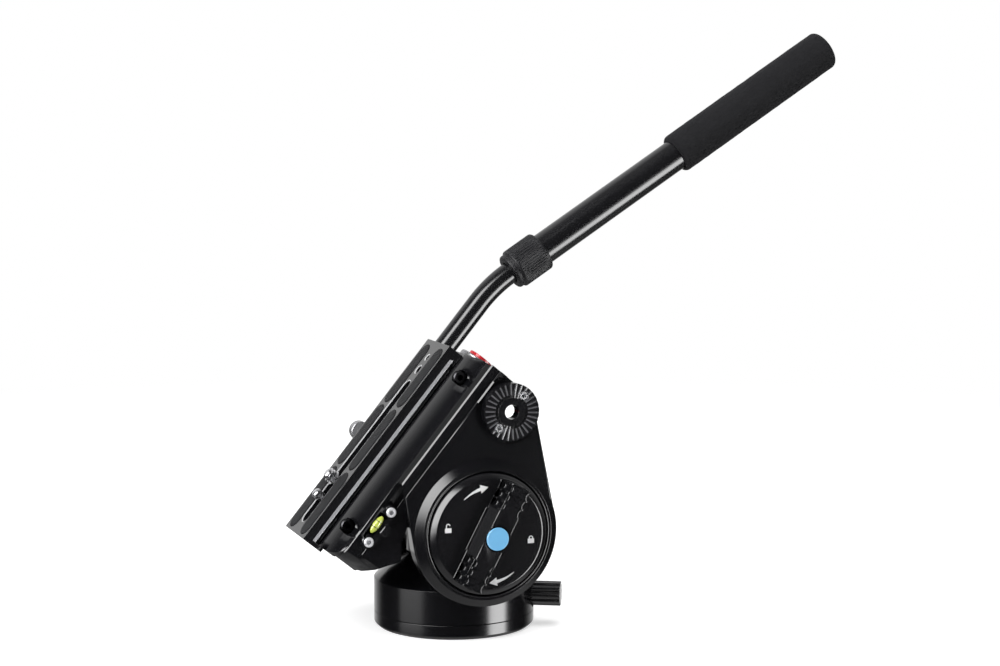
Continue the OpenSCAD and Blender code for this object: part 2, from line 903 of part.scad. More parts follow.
module plate_lock_screw() {
  color(steel) in_tilt() at(plate_knob_l, plate_knob_n) far_side()
    bar(plate_screw_r, rail_foot + 0.3, plate_knob_in + 4);
}

module plate_lock_knob() {
  color(dark) in_tilt() at(plate_knob_l, plate_knob_n) far_side() difference() {
    slab(plate_knob_in, plate_knob_in + plate_knob_h) fluted(plate_knob_r, 10, 1.2);
    bar(plate_screw_r + seat_fit, 0, plate_knob_in + 4.1);
  }
}

// Sliding plate with a flange under each rail
module plate_section() {
  slope_n = flange_n + flange_half - plate_half;
  polygon([[-flange_half, plate_bot], [flange_half, plate_bot], [flange_half, flange_n],
    [plate_half, slope_n], [plate_half, plate_top], [-plate_half, plate_top],
    [-plate_half, slope_n], [-flange_half, flange_n]]);
}

module long_hole(l0, l1, half) {
  translate([l0 + half, -half]) square([l1 - l0 - 2 * half, 2 * half]);
  translate([l0 + half, 0]) circle(half);
  translate([l1 - half, 0]) circle(half);
}

module pad_places() {
  for (s = [-1, 1], e = pad_ends) {
    translate([0, s * pad_y, 0]) linear_extrude(pad_depth + pad_proud)
      long_hole(e[0], e[1], pad_w / 2 - $pad_gap);
  }
}

module quick_plate() {
  $pad_gap = 0;
  color("#8f9296") in_tilt() difference() {
    along(-plate_front, plate_rear) plate_section();
    translate([0, 0, plate_bot - over]) linear_extrude(recess_n - plate_bot + over)
      translate([recess_front, -recess_half]) square([recess_rear - recess_front, 2 * recess_half]);
    translate([0, 0, plate_bot]) linear_extrude(plate_t + over)
      long_hole(slot_front, slot_rear, slot_half);
    translate([0, 0, plate_top - pad_depth]) pad_places();
    for (h = [[42.5, 2.1], [49.5, 1.5]]) {
      translate([h[0], 0, plate_bot - over]) cylinder(r = h[1], h = plate_t + 2 * over);
    }
  }
}

module plate_pads() {
  $pad_gap = seat_fit;
  color("#151516") in_tilt() translate([0, 0, plate_top - pad_depth]) pad_places();
}

module screw_washer() {
  color(dark) in_tilt() difference() {
    translate([screw_l - 4.5, -recess_half + 0.4, recess_n - 2.4])
      cube([9, 2 * recess_half - 0.8, 2.2]);
    at(screw_l, plate_bot) cylinder(r = screw_neck_r + run_fit, h = plate_t);
  }
}

module camera_screw() {
  color(steel) in_tilt() at(screw_l, 0) {
    translate([0, 0, plate_bot + 0.3]) cylinder(r = 4.4, h = recess_n - plate_bot - 2.8);
    translate([0, 0, recess_n - 2.5]) cylinder(r = screw_neck_r, h = plate_top + 2.7 - recess_n);
    translate([0, 0, plate_top + 0.2]) cylinder(r = camera_screw_d / 2, h = camera_screw_h - 0.2);
  }
}

module video_pin() {
  color(steel) in_tilt() at(pin_l, 0) {
    translate([0, 0, recess_n - 2.4]) cylinder(r = 4.3, h = 2.2);
    translate([0, 0, recess_n - 0.2]) cylinder(r = pin_d / 2 - 0.3, h = plate_top + 0.4 - recess_n);
    translate([0, 0, plate_top + 0.2]) cylinder(r = pin_d / 2, h = 4.2);
  }
}

// Pan handle
module handle_clamp() {
  color(black) in_tilt() difference() {
    union() {
      at(rose_l, rose_n) far_side() bar(rose_r, handle_face, disc_out);
      at(rose_l, rose_n) far_side() bar(bolt_r + 3, handle_face + over, clamp_out);
      translate([0, handle_y, handle_n]) rod(barrel_r, barrel_start, barrel_end);
    }
    at(rose_l, rose_n) far_side() bar(bolt_r + 0.4, handle_face - over, clamp_out + over);
    at(rose_l, rose_n) far_side() teeth_cut(handle_face);
    translate([0, handle_y, handle_n]) rod(inner_r + seat_fit, barrel_start + 0.5, barrel_end + over);
    translate([barrel_end - 6, handle_y, handle_n]) cylinder(r = 1.5 + seat_fit, h = barrel_r + over);
  }
}

// Inner tube: a straight root, a bend towards the operator and a straight end
module inner_tube() {
  color(dark) {
    in_tilt() translate([0, handle_y, handle_n]) {
      rotate([0, 90, 0]) ring(inner_r - 1.4, inner_r, barrel_start + 0.6, bend_l - bend_run);
      translate([bend_l - bend_run, 0, -bend_r]) rotate([90, 0, 0]) rotate(90 - bend_angle)
        rotate_extrude(angle = bend_angle) translate([bend_r, 0]) difference() {
          circle(inner_r - bend_step);
          circle(inner_r - 1.4 + bend_step);
        }
    }
    on_handle() ring(inner_r - 1.4, inner_r, bend_run, inner_end);
  }
}

module tube_screw() {
  color(steel) in_tilt() translate([barrel_end - 6, handle_y, handle_n + inner_r])
    cylinder(r = 1.5, h = barrel_r - inner_r - 0.2);
}

module handle_bolt() {
  color(steel) in_tilt() at(rose_l, rose_n) far_side()
    bar(bolt_r, rose_back + 0.2, clamp_out + 6);
}

module handle_knob() {
  color(dark) in_tilt() at(rose_l, rose_n) far_side() difference() {
    slab(clamp_out + 0.4, clamp_out + handle_knob_h) fluted(handle_knob_r, 9, 1.8);
    bar(bolt_r + seat_fit, 0, clamp_out + 6.1);
  }
}

module outer_tube() {
  color(black) on_handle() difference() {
    ring(tube_bore, outer_r, tube_start, tube_end);
    translate([0, 0, tube_start - over]) cylinder(r = outer_r - 0.8, h = collet_len + over);
  }
}

module collet() {
  color("#d8d5cc") on_handle()
    ring(inner_r + 0.08, outer_r - 0.8 - seat_fit, tube_start - 0.4, tube_start + collet_len);
}

module foam_grip() {
  color("#2b2c2e") on_handle() rotate_extrude() difference() {
    translate([0, grip_start]) square([grip_r, grip_len]);
    translate([-over, grip_start - over]) square([outer_r + seat_fit + over, tube_end + over - grip_start]);
    for (e = [0, 1]) {
      translate([grip_r - grip_round, grip_start + e * grip_len]) mirror([0, e]) difference() {
        translate([0, -over]) square([grip_round + over, grip_round + over]);
        translate([0, grip_round]) circle(grip_round);
      }
    }
  }
}

module grip_plug() {
  color(dark) on_handle() translate([0, 0, tube_end - 11]) cylinder(r = tube_bore - seat_fit, h = 11);
}

// Twist collar with a ring of fine ribs
module lock_collar() {
  ribs = 44;
  color(dark) on_handle() difference() {
    translate([0, 0, collar_start]) linear_extrude(collar_len) polygon([
      for (i = [0 : 2 * ribs - 1])
        (collar_r - (i % 2) * 0.5) * [cos(i * 180 / ribs), sin(i * 180 / ribs)]]);
    cylinder(r = inner_r + 0.4, h = collar_start + collar_len);
    translate([0, 0, collar_start + 1.2]) cylinder(r = outer_r + run_fit, h = collar_len);
  }
}

base_plate();
tripod_insert();
pan_spindle();
base_screws();
pan_friction_ring();
spindle_nut();
pan_housing();
tilt_column();
column_screws();
pan_bush();
tilt_bushes();
drum_cap();
pan_lock_screw();
pan_brake_shoe();
pan_lock_knob();
tilt_frame();
near_cheek();
far_cheek();
cheek_screws();
receiver();
receiver_screws();
fixed_rail();
rail_screws();
tilt_axle();
drag_rotor();
lock_bezel();
far_cover();
cover_screws();
near_rosette();
far_rosette();
rosette_screws();
level_housing();
level_vial();
level_screws();
button_collar();
button_spring();
tilt_lock_knob();
knob_dot();
tilt_brake_pad();
safety_button();
safety_latch();
clamp_jaw();
plate_lock_knob();
plate_lock_screw();
quick_plate();
plate_pads();
screw_washer();
camera_screw();
video_pin();
handle_clamp();
inner_tube();
tube_screw();
handle_knob();
handle_bolt();
outer_tube();
foam_grip();
grip_plug();
collet();
lock_collar();
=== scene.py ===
import json
import math

import bmesh
import bpy
from mathutils import Matrix, Vector, noise
from mathutils.bvhtree import BVHTree

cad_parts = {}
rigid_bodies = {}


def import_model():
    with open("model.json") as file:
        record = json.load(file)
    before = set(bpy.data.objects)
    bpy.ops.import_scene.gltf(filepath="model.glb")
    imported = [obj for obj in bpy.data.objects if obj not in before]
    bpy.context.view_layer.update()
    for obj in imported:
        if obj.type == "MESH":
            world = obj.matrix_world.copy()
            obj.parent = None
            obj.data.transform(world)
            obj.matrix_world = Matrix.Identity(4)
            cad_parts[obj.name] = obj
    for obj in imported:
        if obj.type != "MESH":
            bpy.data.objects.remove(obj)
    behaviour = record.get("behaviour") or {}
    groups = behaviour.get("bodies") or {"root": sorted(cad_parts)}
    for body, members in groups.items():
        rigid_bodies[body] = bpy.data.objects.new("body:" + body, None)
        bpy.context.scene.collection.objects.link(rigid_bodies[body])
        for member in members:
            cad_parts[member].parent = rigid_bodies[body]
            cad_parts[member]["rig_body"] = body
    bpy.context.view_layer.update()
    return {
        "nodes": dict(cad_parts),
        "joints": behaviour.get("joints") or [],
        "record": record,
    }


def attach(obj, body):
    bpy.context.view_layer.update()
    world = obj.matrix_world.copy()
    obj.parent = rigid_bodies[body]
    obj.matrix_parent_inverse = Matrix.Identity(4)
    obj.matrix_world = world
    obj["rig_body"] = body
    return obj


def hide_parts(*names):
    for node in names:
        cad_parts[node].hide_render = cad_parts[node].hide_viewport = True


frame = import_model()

# Viewpoint
# The head stands on its base a metre in front of a short telephoto lens, which looks a little
# down on it from the left of the lock knob.
view_target = Vector((0.02308, 0.0, 0.13564))
view_azimuth = -19.85
view_elevation = 6.14
view_distance = 1.0
sensor_mm = 36
lens_mm = 76.91


def direction(azimuth, elevation):
    """Unit vector out from the head: azimuth 0 is the lock knob's side, 90 the rear."""
    a, e = math.radians(azimuth), math.radians(elevation)
    return Vector((math.sin(a) * math.cos(e), -math.cos(a) * math.cos(e), math.sin(e)))


def aim(obj, azimuth, elevation, distance):
    """Puts a lamp or camera on a direction, looking at the middle of the head."""
    out = direction(azimuth, elevation)
    obj.location = view_target + out * distance
    obj.rotation_euler = out.to_track_quat("Z", "Y").to_euler()
    bpy.context.scene.collection.objects.link(obj)


camera_data = bpy.data.cameras.new("camera")
camera_data.sensor_width = sensor_mm
camera_data.lens = lens_mm
camera = bpy.data.objects.new("camera", camera_data)
aim(camera, view_azimuth, view_elevation, view_distance)
bpy.context.scene.camera = camera
bpy.context.scene.view_settings.view_transform = "Standard"

# Studio
# The head stands on white paper in front of a white backdrop, in a dark room. A tall soft box on
# the left and a low white reflector on the right show as bright bands in the glossy black parts;
# two broad lamps give the matt light and the soft shadow on the paper.
ambient_light = 0.22
room_light = 0.03
ceiling_light = 0.3
backdrop_rise = 35
backdrop_edge = (75, 45)
ceiling_edge = (60, 75)
floor_light = 0.5
floor_edge = (-28, -50)
panel_level = 13.0
soft_box = {"azimuth": (-99, -90, -62, -52), "elevation": (-18, 10, 46, 55), "lean": 0.6}
reflector = {"azimuth": (29, 37, 57, 65), "elevation": (-39, -31, -3, 5), "lean": 0.0}
floor_half = 4.0
paper_grey = 0.84
paper_glow = 0.55
paper_fade = (0.1, 0.4)
paper_lit = (0.4, 0.9)


def math_node(tree, operation, first, second=0.0):
    """Output of a maths node fed by sockets or numbers."""
    step = tree.nodes.new("ShaderNodeMath")
    step.operation = operation
    for given, socket in ((first, step.inputs[0]), (second, step.inputs[1])):
        if isinstance(given, (int, float)):
            socket.default_value = given
        else:
            tree.links.new(given, socket)
    return step.outputs[0]


def fade_node(tree, value, start, end):
    """Smooth rise from 0 where a value is at its start to 1 where it is at its end."""
    fade = tree.nodes.new("ShaderNodeMapRange")
    fade.interpolation_type = "SMOOTHSTEP"
    fade.inputs["From Min"].default_value = start
    fade.inputs["From Max"].default_value = end
    tree.links.new(value, fade.inputs["Value"])
    return fade.outputs[0]


def light_panel(tree, azimuth, elevation, panel):
    """Level of a soft-edged leaning panel, which rises and falls between four bearings each way."""
    level = panel_level
    lean = math_node(tree, "MULTIPLY", elevation, panel["lean"])
    across = math_node(tree, "SUBTRACT", azimuth, lean)
    for bearing, side in ((across, "azimuth"), (elevation, "elevation")):
        start, full, last, end = (math.radians(x) for x in panel[side])
        for edges in ((start, full), (end, last)):
            inside = fade_node(tree, bearing, *edges)
            level = math_node(tree, "MULTIPLY", inside, level)
    return level


def studio_world():
    """White to the camera, the studio to reflections and a plain even light to all else."""
    world = bpy.data.worlds.new("studio")
    world.use_nodes = True
    tree = world.node_tree
    nodes, links = tree.nodes, tree.links
    place = nodes.new("ShaderNodeTexCoord").outputs["Generated"]
    axes = nodes.new("ShaderNodeSeparateXYZ")
    links.new(place, axes.inputs[0])
    forward = math_node(tree, "MULTIPLY", axes.outputs["Y"], -1.0)
    azimuth = math_node(tree, "ARCTAN2", axes.outputs["X"], forward)
    elevation = math_node(tree, "ARCSINE", axes.outputs["Z"])
    rear = nodes.new("ShaderNodeVectorMath")
    rear.operation = "DOT_PRODUCT"
    links.new(place, rear.inputs[0])
    rear.inputs[1].default_value = -direction(view_azimuth, -backdrop_rise)
    backdrop = fade_node(tree, rear.outputs["Value"],
                         *(math.cos(math.radians(x)) for x in backdrop_edge))
    above = fade_node(tree, elevation, *(math.radians(x) for x in ceiling_edge))
    dimmed = math_node(tree, "MULTIPLY", above, ceiling_light - 1)
    backdrop = math_node(tree, "MULTIPLY", backdrop, math_node(tree, "ADD", dimmed, 1.0))
    ceiling = math_node(tree, "MULTIPLY", above, ceiling_light)
    below = fade_node(tree, elevation, *(math.radians(x) for x in floor_edge))
    below = math_node(tree, "MULTIPLY", below, floor_light)
    mirrored = backdrop
    for level in (ceiling, below, room_light):
        mirrored = math_node(tree, "MAXIMUM", mirrored, level)
    for panel in (soft_box, reflector):
        level = light_panel(tree, azimuth, elevation, panel)
        mirrored = math_node(tree, "MAXIMUM", mirrored, level)
    path = nodes.new("ShaderNodeLightPath")
    direct = math_node(tree, "MAXIMUM", path.outputs["Is Camera Ray"],
                       path.outputs["Is Transmission Ray"])
    plain = math_node(tree, "MAXIMUM", direct, ambient_light)
    strength = nodes.new("ShaderNodeMix")
    links.new(path.outputs["Is Glossy Ray"], strength.inputs[0])
    links.new(plain, strength.inputs[2])
    links.new(mirrored, strength.inputs[3])
    nodes["Background"].inputs["Color"].default_value = (1, 1, 1, 1)
    links.new(strength.outputs[0], nodes["Background"].inputs["Strength"])
    return world


def floor_paper():
    """White paper that keeps a soft shadow near the head and is plain white further out."""
    material = bpy.data.materials.new("floor_paper")
    material.use_nodes = True
    tree = material.node_tree
    nodes, links = tree.nodes, tree.links
    nodes.remove(nodes["Principled BSDF"])
    place = nodes.new("ShaderNodeTexCoord")
    reach = nodes.new("ShaderNodeVectorMath")
    reach.operation = "LENGTH"
    links.new(place.outputs["Object"], reach.inputs[0])
    far = fade_node(tree, reach.outputs["Value"], *paper_fade)
    unlit = fade_node(tree, reach.outputs["Value"], *paper_lit)
    near = math_node(tree, "SUBTRACT", 1.0, unlit)
    matt = nodes.new("ShaderNodeBsdfDiffuse")
    links.new(math_node(tree, "MULTIPLY", near, paper_grey), matt.inputs["Color"])
    path = nodes.new("ShaderNodeLightPath")
    glow_level = math_node(tree, "MAXIMUM", far, paper_glow)
    glow = nodes.new("ShaderNodeEmission")
    links.new(math_node(tree, "MULTIPLY", glow_level, path.outputs["Is Camera Ray"]),
              glow.inputs["Strength"])
    both = nodes.new("ShaderNodeAddShader")
    links.new(matt.outputs[0], both.inputs[0])
    links.new(glow.outputs[0], both.inputs[1])
    links.new(both.outputs[0], nodes["Material Output"].inputs["Surface"])
    return material


bpy.context.scene.world = studio_world()
floor_mesh = bpy.data.meshes.new("floor")
floor_sheet = bmesh.new()
bmesh.ops.create_grid(floor_sheet, x_segments=1, y_segments=1, size=floor_half)
floor_sheet.to_mesh(floor_mesh)
floor_sheet.free()
floor_mesh.materials.append(floor_paper())
floor = bpy.data.objects.new("floor", floor_mesh)
bpy.context.scene.collection.objects.link(floor)
floor.visible_glossy = False


def soft_lamp(name, azimuth, elevation, distance, width, height, power):
    """Rectangular lamp for matt surfaces and shadows, not seen in the picture or in reflections."""
    data = bpy.data.lights.new(name, "AREA")
    data.shape = "RECTANGLE"
    data.size, data.size_y = width, height
    data.energy = power
    lamp = bpy.data.objects.new(name, data)
    aim(lamp, azimuth, elevation, distance)
    lamp.visible_camera = False
    lamp.visible_glossy = False


soft_lamp("left_lamp", azimuth=-65, elevation=35, distance=1.0, width=0.8, height=0.8, power=11)
soft_lamp("top_lamp", azimuth=20, elevation=75, distance=1.1, width=0.9, height=0.9, power=9)

# Base
# A turned aluminium disc that screws to the tripod, with the pan housing turning on it. Both are
# anodised satin black, with fine turning lines round the rim and broken edges. The steel insert,
# spindle and nut that hold them together sit inside.
patch_scale = 60
weld_m = 2e-6
flat_limit = math.radians(0.4)
smooth_limit = math.radians(38)
black_tones = (0.004, 0.004, 0.005), (0.006, 0.006, 0.007)


def mottle_group():
    """Slow change of colour and fine change of gloss and height over a surface."""
    group = bpy.data.node_groups.new("mottle", "ShaderNodeTree")
    for name, kind in (("Vector", "NodeSocketVector"), ("Scale", "NodeSocketFloat"),
                       ("Dark", "NodeSocketColor"), ("Light", "NodeSocketColor"),
                       ("Smooth", "NodeSocketFloat"), ("Rough", "NodeSocketFloat")):
        group.interface.new_socket(name, in_out="INPUT", socket_type=kind)
    for name, kind in (("Color", "NodeSocketColor"), ("Roughness", "NodeSocketFloat"),
                       ("Height", "NodeSocketFloat")):
        group.interface.new_socket(name, in_out="OUTPUT", socket_type=kind)
    nodes, links = group.nodes, group.links
    given = nodes.new("NodeGroupInput")
    result = nodes.new("NodeGroupOutput")
    patches = nodes.new("ShaderNodeTexNoise")
    patches.inputs["Scale"].default_value = patch_scale
    patches.inputs["Detail"].default_value = 4
    grain = nodes.new("ShaderNodeTexNoise")
    grain.inputs["Detail"].default_value = 3
    links.new(given.outputs["Vector"], patches.inputs["Vector"])
    links.new(given.outputs["Vector"], grain.inputs["Vector"])
    links.new(given.outputs["Scale"], grain.inputs["Scale"])
    tint = nodes.new("ShaderNodeMix")
    tint.data_type = "RGBA"
    links.new(patches.outputs["Fac"], tint.inputs[0])
    links.new(given.outputs["Dark"], tint.inputs[6])
    links.new(given.outputs["Light"], tint.inputs[7])
    gloss = nodes.new("ShaderNodeMix")
    links.new(grain.outputs["Fac"], gloss.inputs[0])
    links.new(given.outputs["Smooth"], gloss.inputs[2])
    links.new(given.outputs["Rough"], gloss.inputs[3])
    links.new(tint.outputs[2], result.inputs["Color"])
    links.new(gloss.outputs[0], result.inputs["Roughness"])
    links.new(grain.outputs["Fac"], result.inputs["Height"])
    return group


mottle = mottle_group()


def finish(name, dark, light, smooth, rough, grain, relief, metallic=0.0, specular=0.5,
           stretch=(1, 1, 1), coat=0.0):
    """Material of one finish: two tones, two gloss levels, grain per metre and its relief in mm."""
    material = bpy.data.materials.new(name)
    material.use_nodes = True
    nodes, links = material.node_tree.nodes, material.node_tree.links
    shader = nodes["Principled BSDF"]
    for socket, value in (("Metallic", metallic), ("Specular IOR Level", specular), ("Coat Weight", coat)):
        shader.inputs[socket].default_value = value
    place = nodes.new("ShaderNodeTexCoord")
    stretched = nodes.new("ShaderNodeMapping")
    stretched.inputs["Scale"].default_value = stretch
    links.new(place.outputs["Object"], stretched.inputs["Vector"])
    surface = nodes.new("ShaderNodeGroup")
    surface.node_tree = mottle
    for socket, value in (("Scale", grain), ("Dark", (*dark, 1)), ("Light", (*light, 1)),
                          ("Smooth", smooth), ("Rough", rough)):
        surface.inputs[socket].default_value = value
    links.new(stretched.outputs[0], surface.inputs["Vector"])
    links.new(surface.outputs["Color"], shader.inputs["Base Color"])
    links.new(surface.outputs["Roughness"], shader.inputs["Roughness"])
    bump = nodes.new("ShaderNodeBump")
    bump.inputs["Distance"].default_value = relief / 1000
    links.new(surface.outputs["Height"], bump.inputs["Height"])
    links.new(bump.outputs[0], shader.inputs["Normal"])
    return material


def weld(part, distance):
    """Joins the points of a part that lie within a distance of each other, in the part's units."""
    bmesh.ops.remove_doubles(part, verts=part.verts, dist=distance)


def welded(node):
    """Copy of a node's mesh with its loose triangles joined."""
    part = bmesh.new()
    part.from_mesh(frame["nodes"][node].data)
    weld(part, weld_m)
    return part


def machined(node):
    """Welded copy of a node's mesh with its flats made whole."""
    part = welded(node)
    bmesh.ops.dissolve_limit(part, angle_limit=flat_limit, verts=part.verts, edges=part.edges)
    return part


def bevel(part, edges, width, segments=2, clamp=True, mm_per_unit=1000):
    """Rounds or chamfers edges of a part, held back by short edges if clamped; width in mm."""
    return bmesh.ops.bevel(part, geom=edges, offset=width / mm_per_unit, segments=segments, profile=0.5,
                           affect="EDGES", clamp_overlap=clamp, material=-1)["faces"]


def sharp_edges(part, sharper_than=28):
    """Edges of a part that turn by more than an angle in degrees."""
    return [e for e in part.edges if len(e.link_faces) == 2
            and e.calc_face_angle() > math.radians(sharper_than)]


def break_edges(part, width, segments=2, sharper_than=28):
    """Rounds the sharp edges of a part; width in mm."""
    bevel(part, sharp_edges(part, sharper_than), width, segments)


def body_of(node):
    """Body that a node rides on."""
    return frame["nodes"][node]["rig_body"]


def fit(part, name, body, material, slot, *stands_for):
    """Makes a part an object that rides on a body, in place of the nodes it stands for."""
    mesh = bpy.data.meshes.new(name)
    part.to_mesh(mesh)
    part.free()
    mesh.materials.append(material)
    mesh.shade_smooth()
    mesh.set_sharp_from_angle(angle=smooth_limit)
    piece = bpy.data.objects.new(name, mesh)
    bpy.context.scene.collection.objects.link(piece)
    flats = piece.modifiers.new("flats", "WEIGHTED_NORMAL")
    flats.keep_sharp = True
    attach(piece, body)
    if stands_for:
        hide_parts(*stands_for)
    return piece


slot_of = {s["node"]: s["material_slot"] for s in frame["record"]["subparts"]}


def replace_node(part, node, material):
    """Fits a part in place of a node, on the node's body."""
    return fit(part, node + "_finished", body_of(node), material, slot_of[node], node)


def dress(node, material, width, segments=2, sharper_than=28):
    """Machined copy of a node with its edges broken; width in mm."""
    part = machined(node)
    break_edges(part, width, segments, sharper_than)
    replace_node(part, node, material)


def coat(material, *nodes):
    """Gives nodes whose plain shape is right a finish."""
    for node in nodes:
        for slot in frame["nodes"][node].material_slots:
            slot.material = material


turned_black = finish("turned_black", *black_tones, 0.15, 0.2, 700, 0.001, stretch=(1, 1, 14))
bright_steel = finish("bright_steel", (0.5, 0.5, 0.51), (0.64, 0.64, 0.66), 0.2, 0.34, 1500, 0.003,
                      metallic=1.0)
friction_plastic = finish("friction_plastic", (0.30, 0.28, 0.23), (0.38, 0.35, 0.29), 0.5, 0.62,
                          1800, 0.01)
dress("base_plate", turned_black, 0.35)
dress("pan_housing", turned_black, 0.3)
coat(bright_steel, "tripod_insert", "pan_spindle", "base_screws", "spindle_nut")
coat(friction_plastic, "pan_friction_ring")

# Column
# The pan housing carries a cast column with a sloped neck and the drag drum across its top. The
# casting is blasted and anodised satin black; the bushes pressed into it are bronze.
satin_black = finish("satin_black", *black_tones, 0.13, 0.19, 2600, 0.001)
bearing_bronze = finish("bearing_bronze", (0.42, 0.28, 0.12), (0.55, 0.38, 0.18), 0.25, 0.4,
                        900, 0.004, metallic=1.0)
dress("tilt_column", satin_black, 0.4)
coat(satin_black, "drum_cap")
coat(bright_steel, "column_screws", "tilt_axle")
coat(bearing_bronze, "pan_bush", "tilt_bushes")
coat(friction_plastic, "drag_rotor")

# Pan lock
# A small fluted knob of glossy black aluminium on a steel screw, which presses a bronze shoe
# against the spindle inside the housing.
gloss_black = finish("gloss_black", (0.010, 0.010, 0.011), (0.016, 0.016, 0.017), 0.14, 0.22,
                     1200, 0.002, specular=0.8)
dress("pan_lock_knob", gloss_black, 0.3)
coat(bright_steel, "pan_lock_screw")
coat(bearing_bronze, "pan_brake_shoe")

# Tilt frame and cheeks
# A hollow cast frame under the camera platform, held between two machined cheeks. Each cheek has
# a rounded outer rim and a stepped strip along its top; all of it is anodised satin black.
joints = {j["name"]: j for j in frame["joints"]}
uphill = Vector(joints["plate_slide"]["axis"])
tilt_axis = Vector(joints["tilt_turn"]["pos_m"])
to_mm = Matrix.Scale(1000, 4)
to_metres = Matrix.Scale(0.001, 4)
quarter_x = Matrix.Rotation(math.radians(90), 4, "X")
quarter_y = Matrix.Rotation(math.radians(90), 4, "Y")
platform = (Matrix.Translation((0, 0, tilt_axis.z))
            @ Matrix.Rotation(-math.atan2(uphill.z, uphill.x), 4, "Y"))
near_side = platform @ quarter_x
far_side = platform @ Matrix.Rotation(math.radians(-90), 4, "X")


def moved(place, x=0, y=0, z=0):
    """A place shifted along its own axes, by steps in mm."""
    return place @ Matrix.Translation((x / 1000, y / 1000, z / 1000))


def solids(node, place):
    """Low and high corner, in mm along the axes of a place, of each separate solid of a node."""
    part = welded(node)
    part.transform(to_mm @ place.inverted())
    waiting = set(part.verts)
    found = []
    while waiting:
        front = [waiting.pop()]
        corners = []
        while front:
            point = front.pop()
            corners.append(point.co.copy())
            for edge in point.link_edges:
                other = edge.other_vert(point)
                if other in waiting:
                    waiting.discard(other)
                    front.append(other)
        found.append((Vector(map(min, *corners)), Vector(map(max, *corners))))
    part.free()
    return sorted(found, key=lambda box: tuple(round(x, 3) for x in box[0]))


tolerance = 0.01
rim_round = 1.3
step_chamfer = 0.6
frame_top = solids("tilt_frame", platform)[0][1].z
frame_half = solids("tilt_frame", platform)[0][1].y
cheek_face = solids("near_cheek", near_side)[0][1].z
strip_face = cheek_face - 1
knob_pocket_reach = 31
rosette_reach = 19.5
edge_weld = 0.05
strip_n = 40.75
strip_edge = strip_n - 0.05
top_fall = 2.3
seat_r = 15.2
bridge_h = 0.85
bridge_overlap = 0.6
rosette = solids("near_rosette", near_side)[0]
rosette_middle = (rosette[0] + rosette[1]) / 2


def add_part(whole, extra):
    """Joins a second part into a first."""
    mesh = bpy.data.meshes.new("joined")
    extra.to_mesh(mesh)
    extra.free()
    whole.from_mesh(mesh)
    bpy.data.meshes.remove(mesh)


def block(middle, size):
    """Plain block, in mm."""
    part = bmesh.new()
    bmesh.ops.create_cube(part, size=1)
    part.transform(Matrix.Translation(middle) @ Matrix.Diagonal((*size, 1)))
    return part


def cheek(node, place):
    """Machined cheek: rounded rim, chamfered step, sloping top and a bridge over the rosette."""
    part = machined(node)
    part.transform(to_mm @ place.inverted())
    weld(part, edge_weld)
    upright = 1 if place is near_side else -1

    def outer_edges(wanted):
        """Square outer edges that a test picks by their middle and ends."""
        part.normal_update()
        return [e for e in part.edges if e.is_convex and e.calc_face_angle(0) > math.radians(60)
                and wanted((e.verts[0].co + e.verts[1].co) / 2, *(v.co for v in e.verts))]

    def on_rim(middle, a, b):
        """Whether an edge lies on the rim, clear of the knob and rosette."""
        away = Vector((middle.x - rosette_middle.x, middle.y * upright - rosette_middle.y)).length
        return (min(a.z, b.z) > cheek_face - tolerance and middle.y * upright < strip_edge
                and middle.xy.length > knob_pocket_reach and away > rosette_reach)

    def on_step(middle, a, b):
        """Whether an edge runs along the step under the top strip."""
        return (min(a.z, b.z) > strip_face - tolerance and middle.y * upright > strip_edge
                and abs(a.y - b.y) < tolerance)

    bevel(part, outer_edges(on_rim), rim_round, segments=4, clamp=False, mm_per_unit=1)
    bevel(part, outer_edges(on_step), step_chamfer, segments=1, clamp=False, mm_per_unit=1)
    for point in part.verts:
        if point.co.y * upright > frame_top - tolerance and point.co.z < frame_half + 0.1:
            point.co.y -= top_fall * upright
    half = math.sqrt(seat_r ** 2 - (strip_n - rosette_middle.y) ** 2) + bridge_overlap
    bridge = block((rosette_middle.x, (strip_n - bridge_h / 2) * upright, (cheek_face + strip_face) / 2),
                   (half * 2, bridge_h, cheek_face - strip_face))
    crest = [e for e in bridge.edges
             if all(v.co.z > cheek_face - tolerance and v.co.y * upright > strip_n - tolerance
                    for v in e.verts)]
    bevel(bridge, crest, step_chamfer, segments=1, clamp=False, mm_per_unit=1)
    add_part(part, bridge)
    part.transform(place @ to_metres)
    replace_node(part, node, satin_black)


cheek("near_cheek", near_side)
cheek("far_cheek", far_side)
panel_step = 38.3
panel_end = -6.5
panel_reach = 33
tilt_frame = machined("tilt_frame")
weld(tilt_frame, edge_weld / 1000)
to_platform = to_mm @ platform.inverted()
top_edges = []
for edge in tilt_frame.edges:
    a, b = (to_platform @ v.co for v in edge.verts)
    on_top = min(a.z, b.z) > frame_top - tolerance and max(a.x, b.x) < panel_end
    on_panel = max(abs(a.z - panel_step), abs(b.z - panel_step)) < tolerance
    if edge.is_convex and max(a.y, b.y) < -panel_reach and (on_top or on_panel):
        top_edges.append(edge)
bevel(tilt_frame, top_edges, step_chamfer, segments=1, clamp=False)
replace_node(tilt_frame, "tilt_frame", satin_black)
coat(bright_steel, "cheek_screws")

# Receiver and rails
# The machined receiver is screwed to the frame: a channel between two rounded shoulders, with a
# dark drawn rail on the near side and a like jaw on the far side that grip the camera plate. Both
# have bright ground tops; two cap screws deep in the near shoulder hold the rail.
drawn_metal = finish("drawn_metal", (0.10, 0.10, 0.105), (0.14, 0.14, 0.145), 0.2, 0.26, 900, 0.001,
                     metallic=1.0)
ground_metal = finish("ground_metal", (0.30, 0.30, 0.315), (0.36, 0.36, 0.375), 0.4, 0.48, 700, 0.001,
                      metallic=0.35)
dark_steel = finish("dark_steel", (0.03, 0.03, 0.032), (0.05, 0.05, 0.053), 0.28, 0.4, 1500, 0.003,
                    metallic=1.0)
lathe_weld = 1e-4


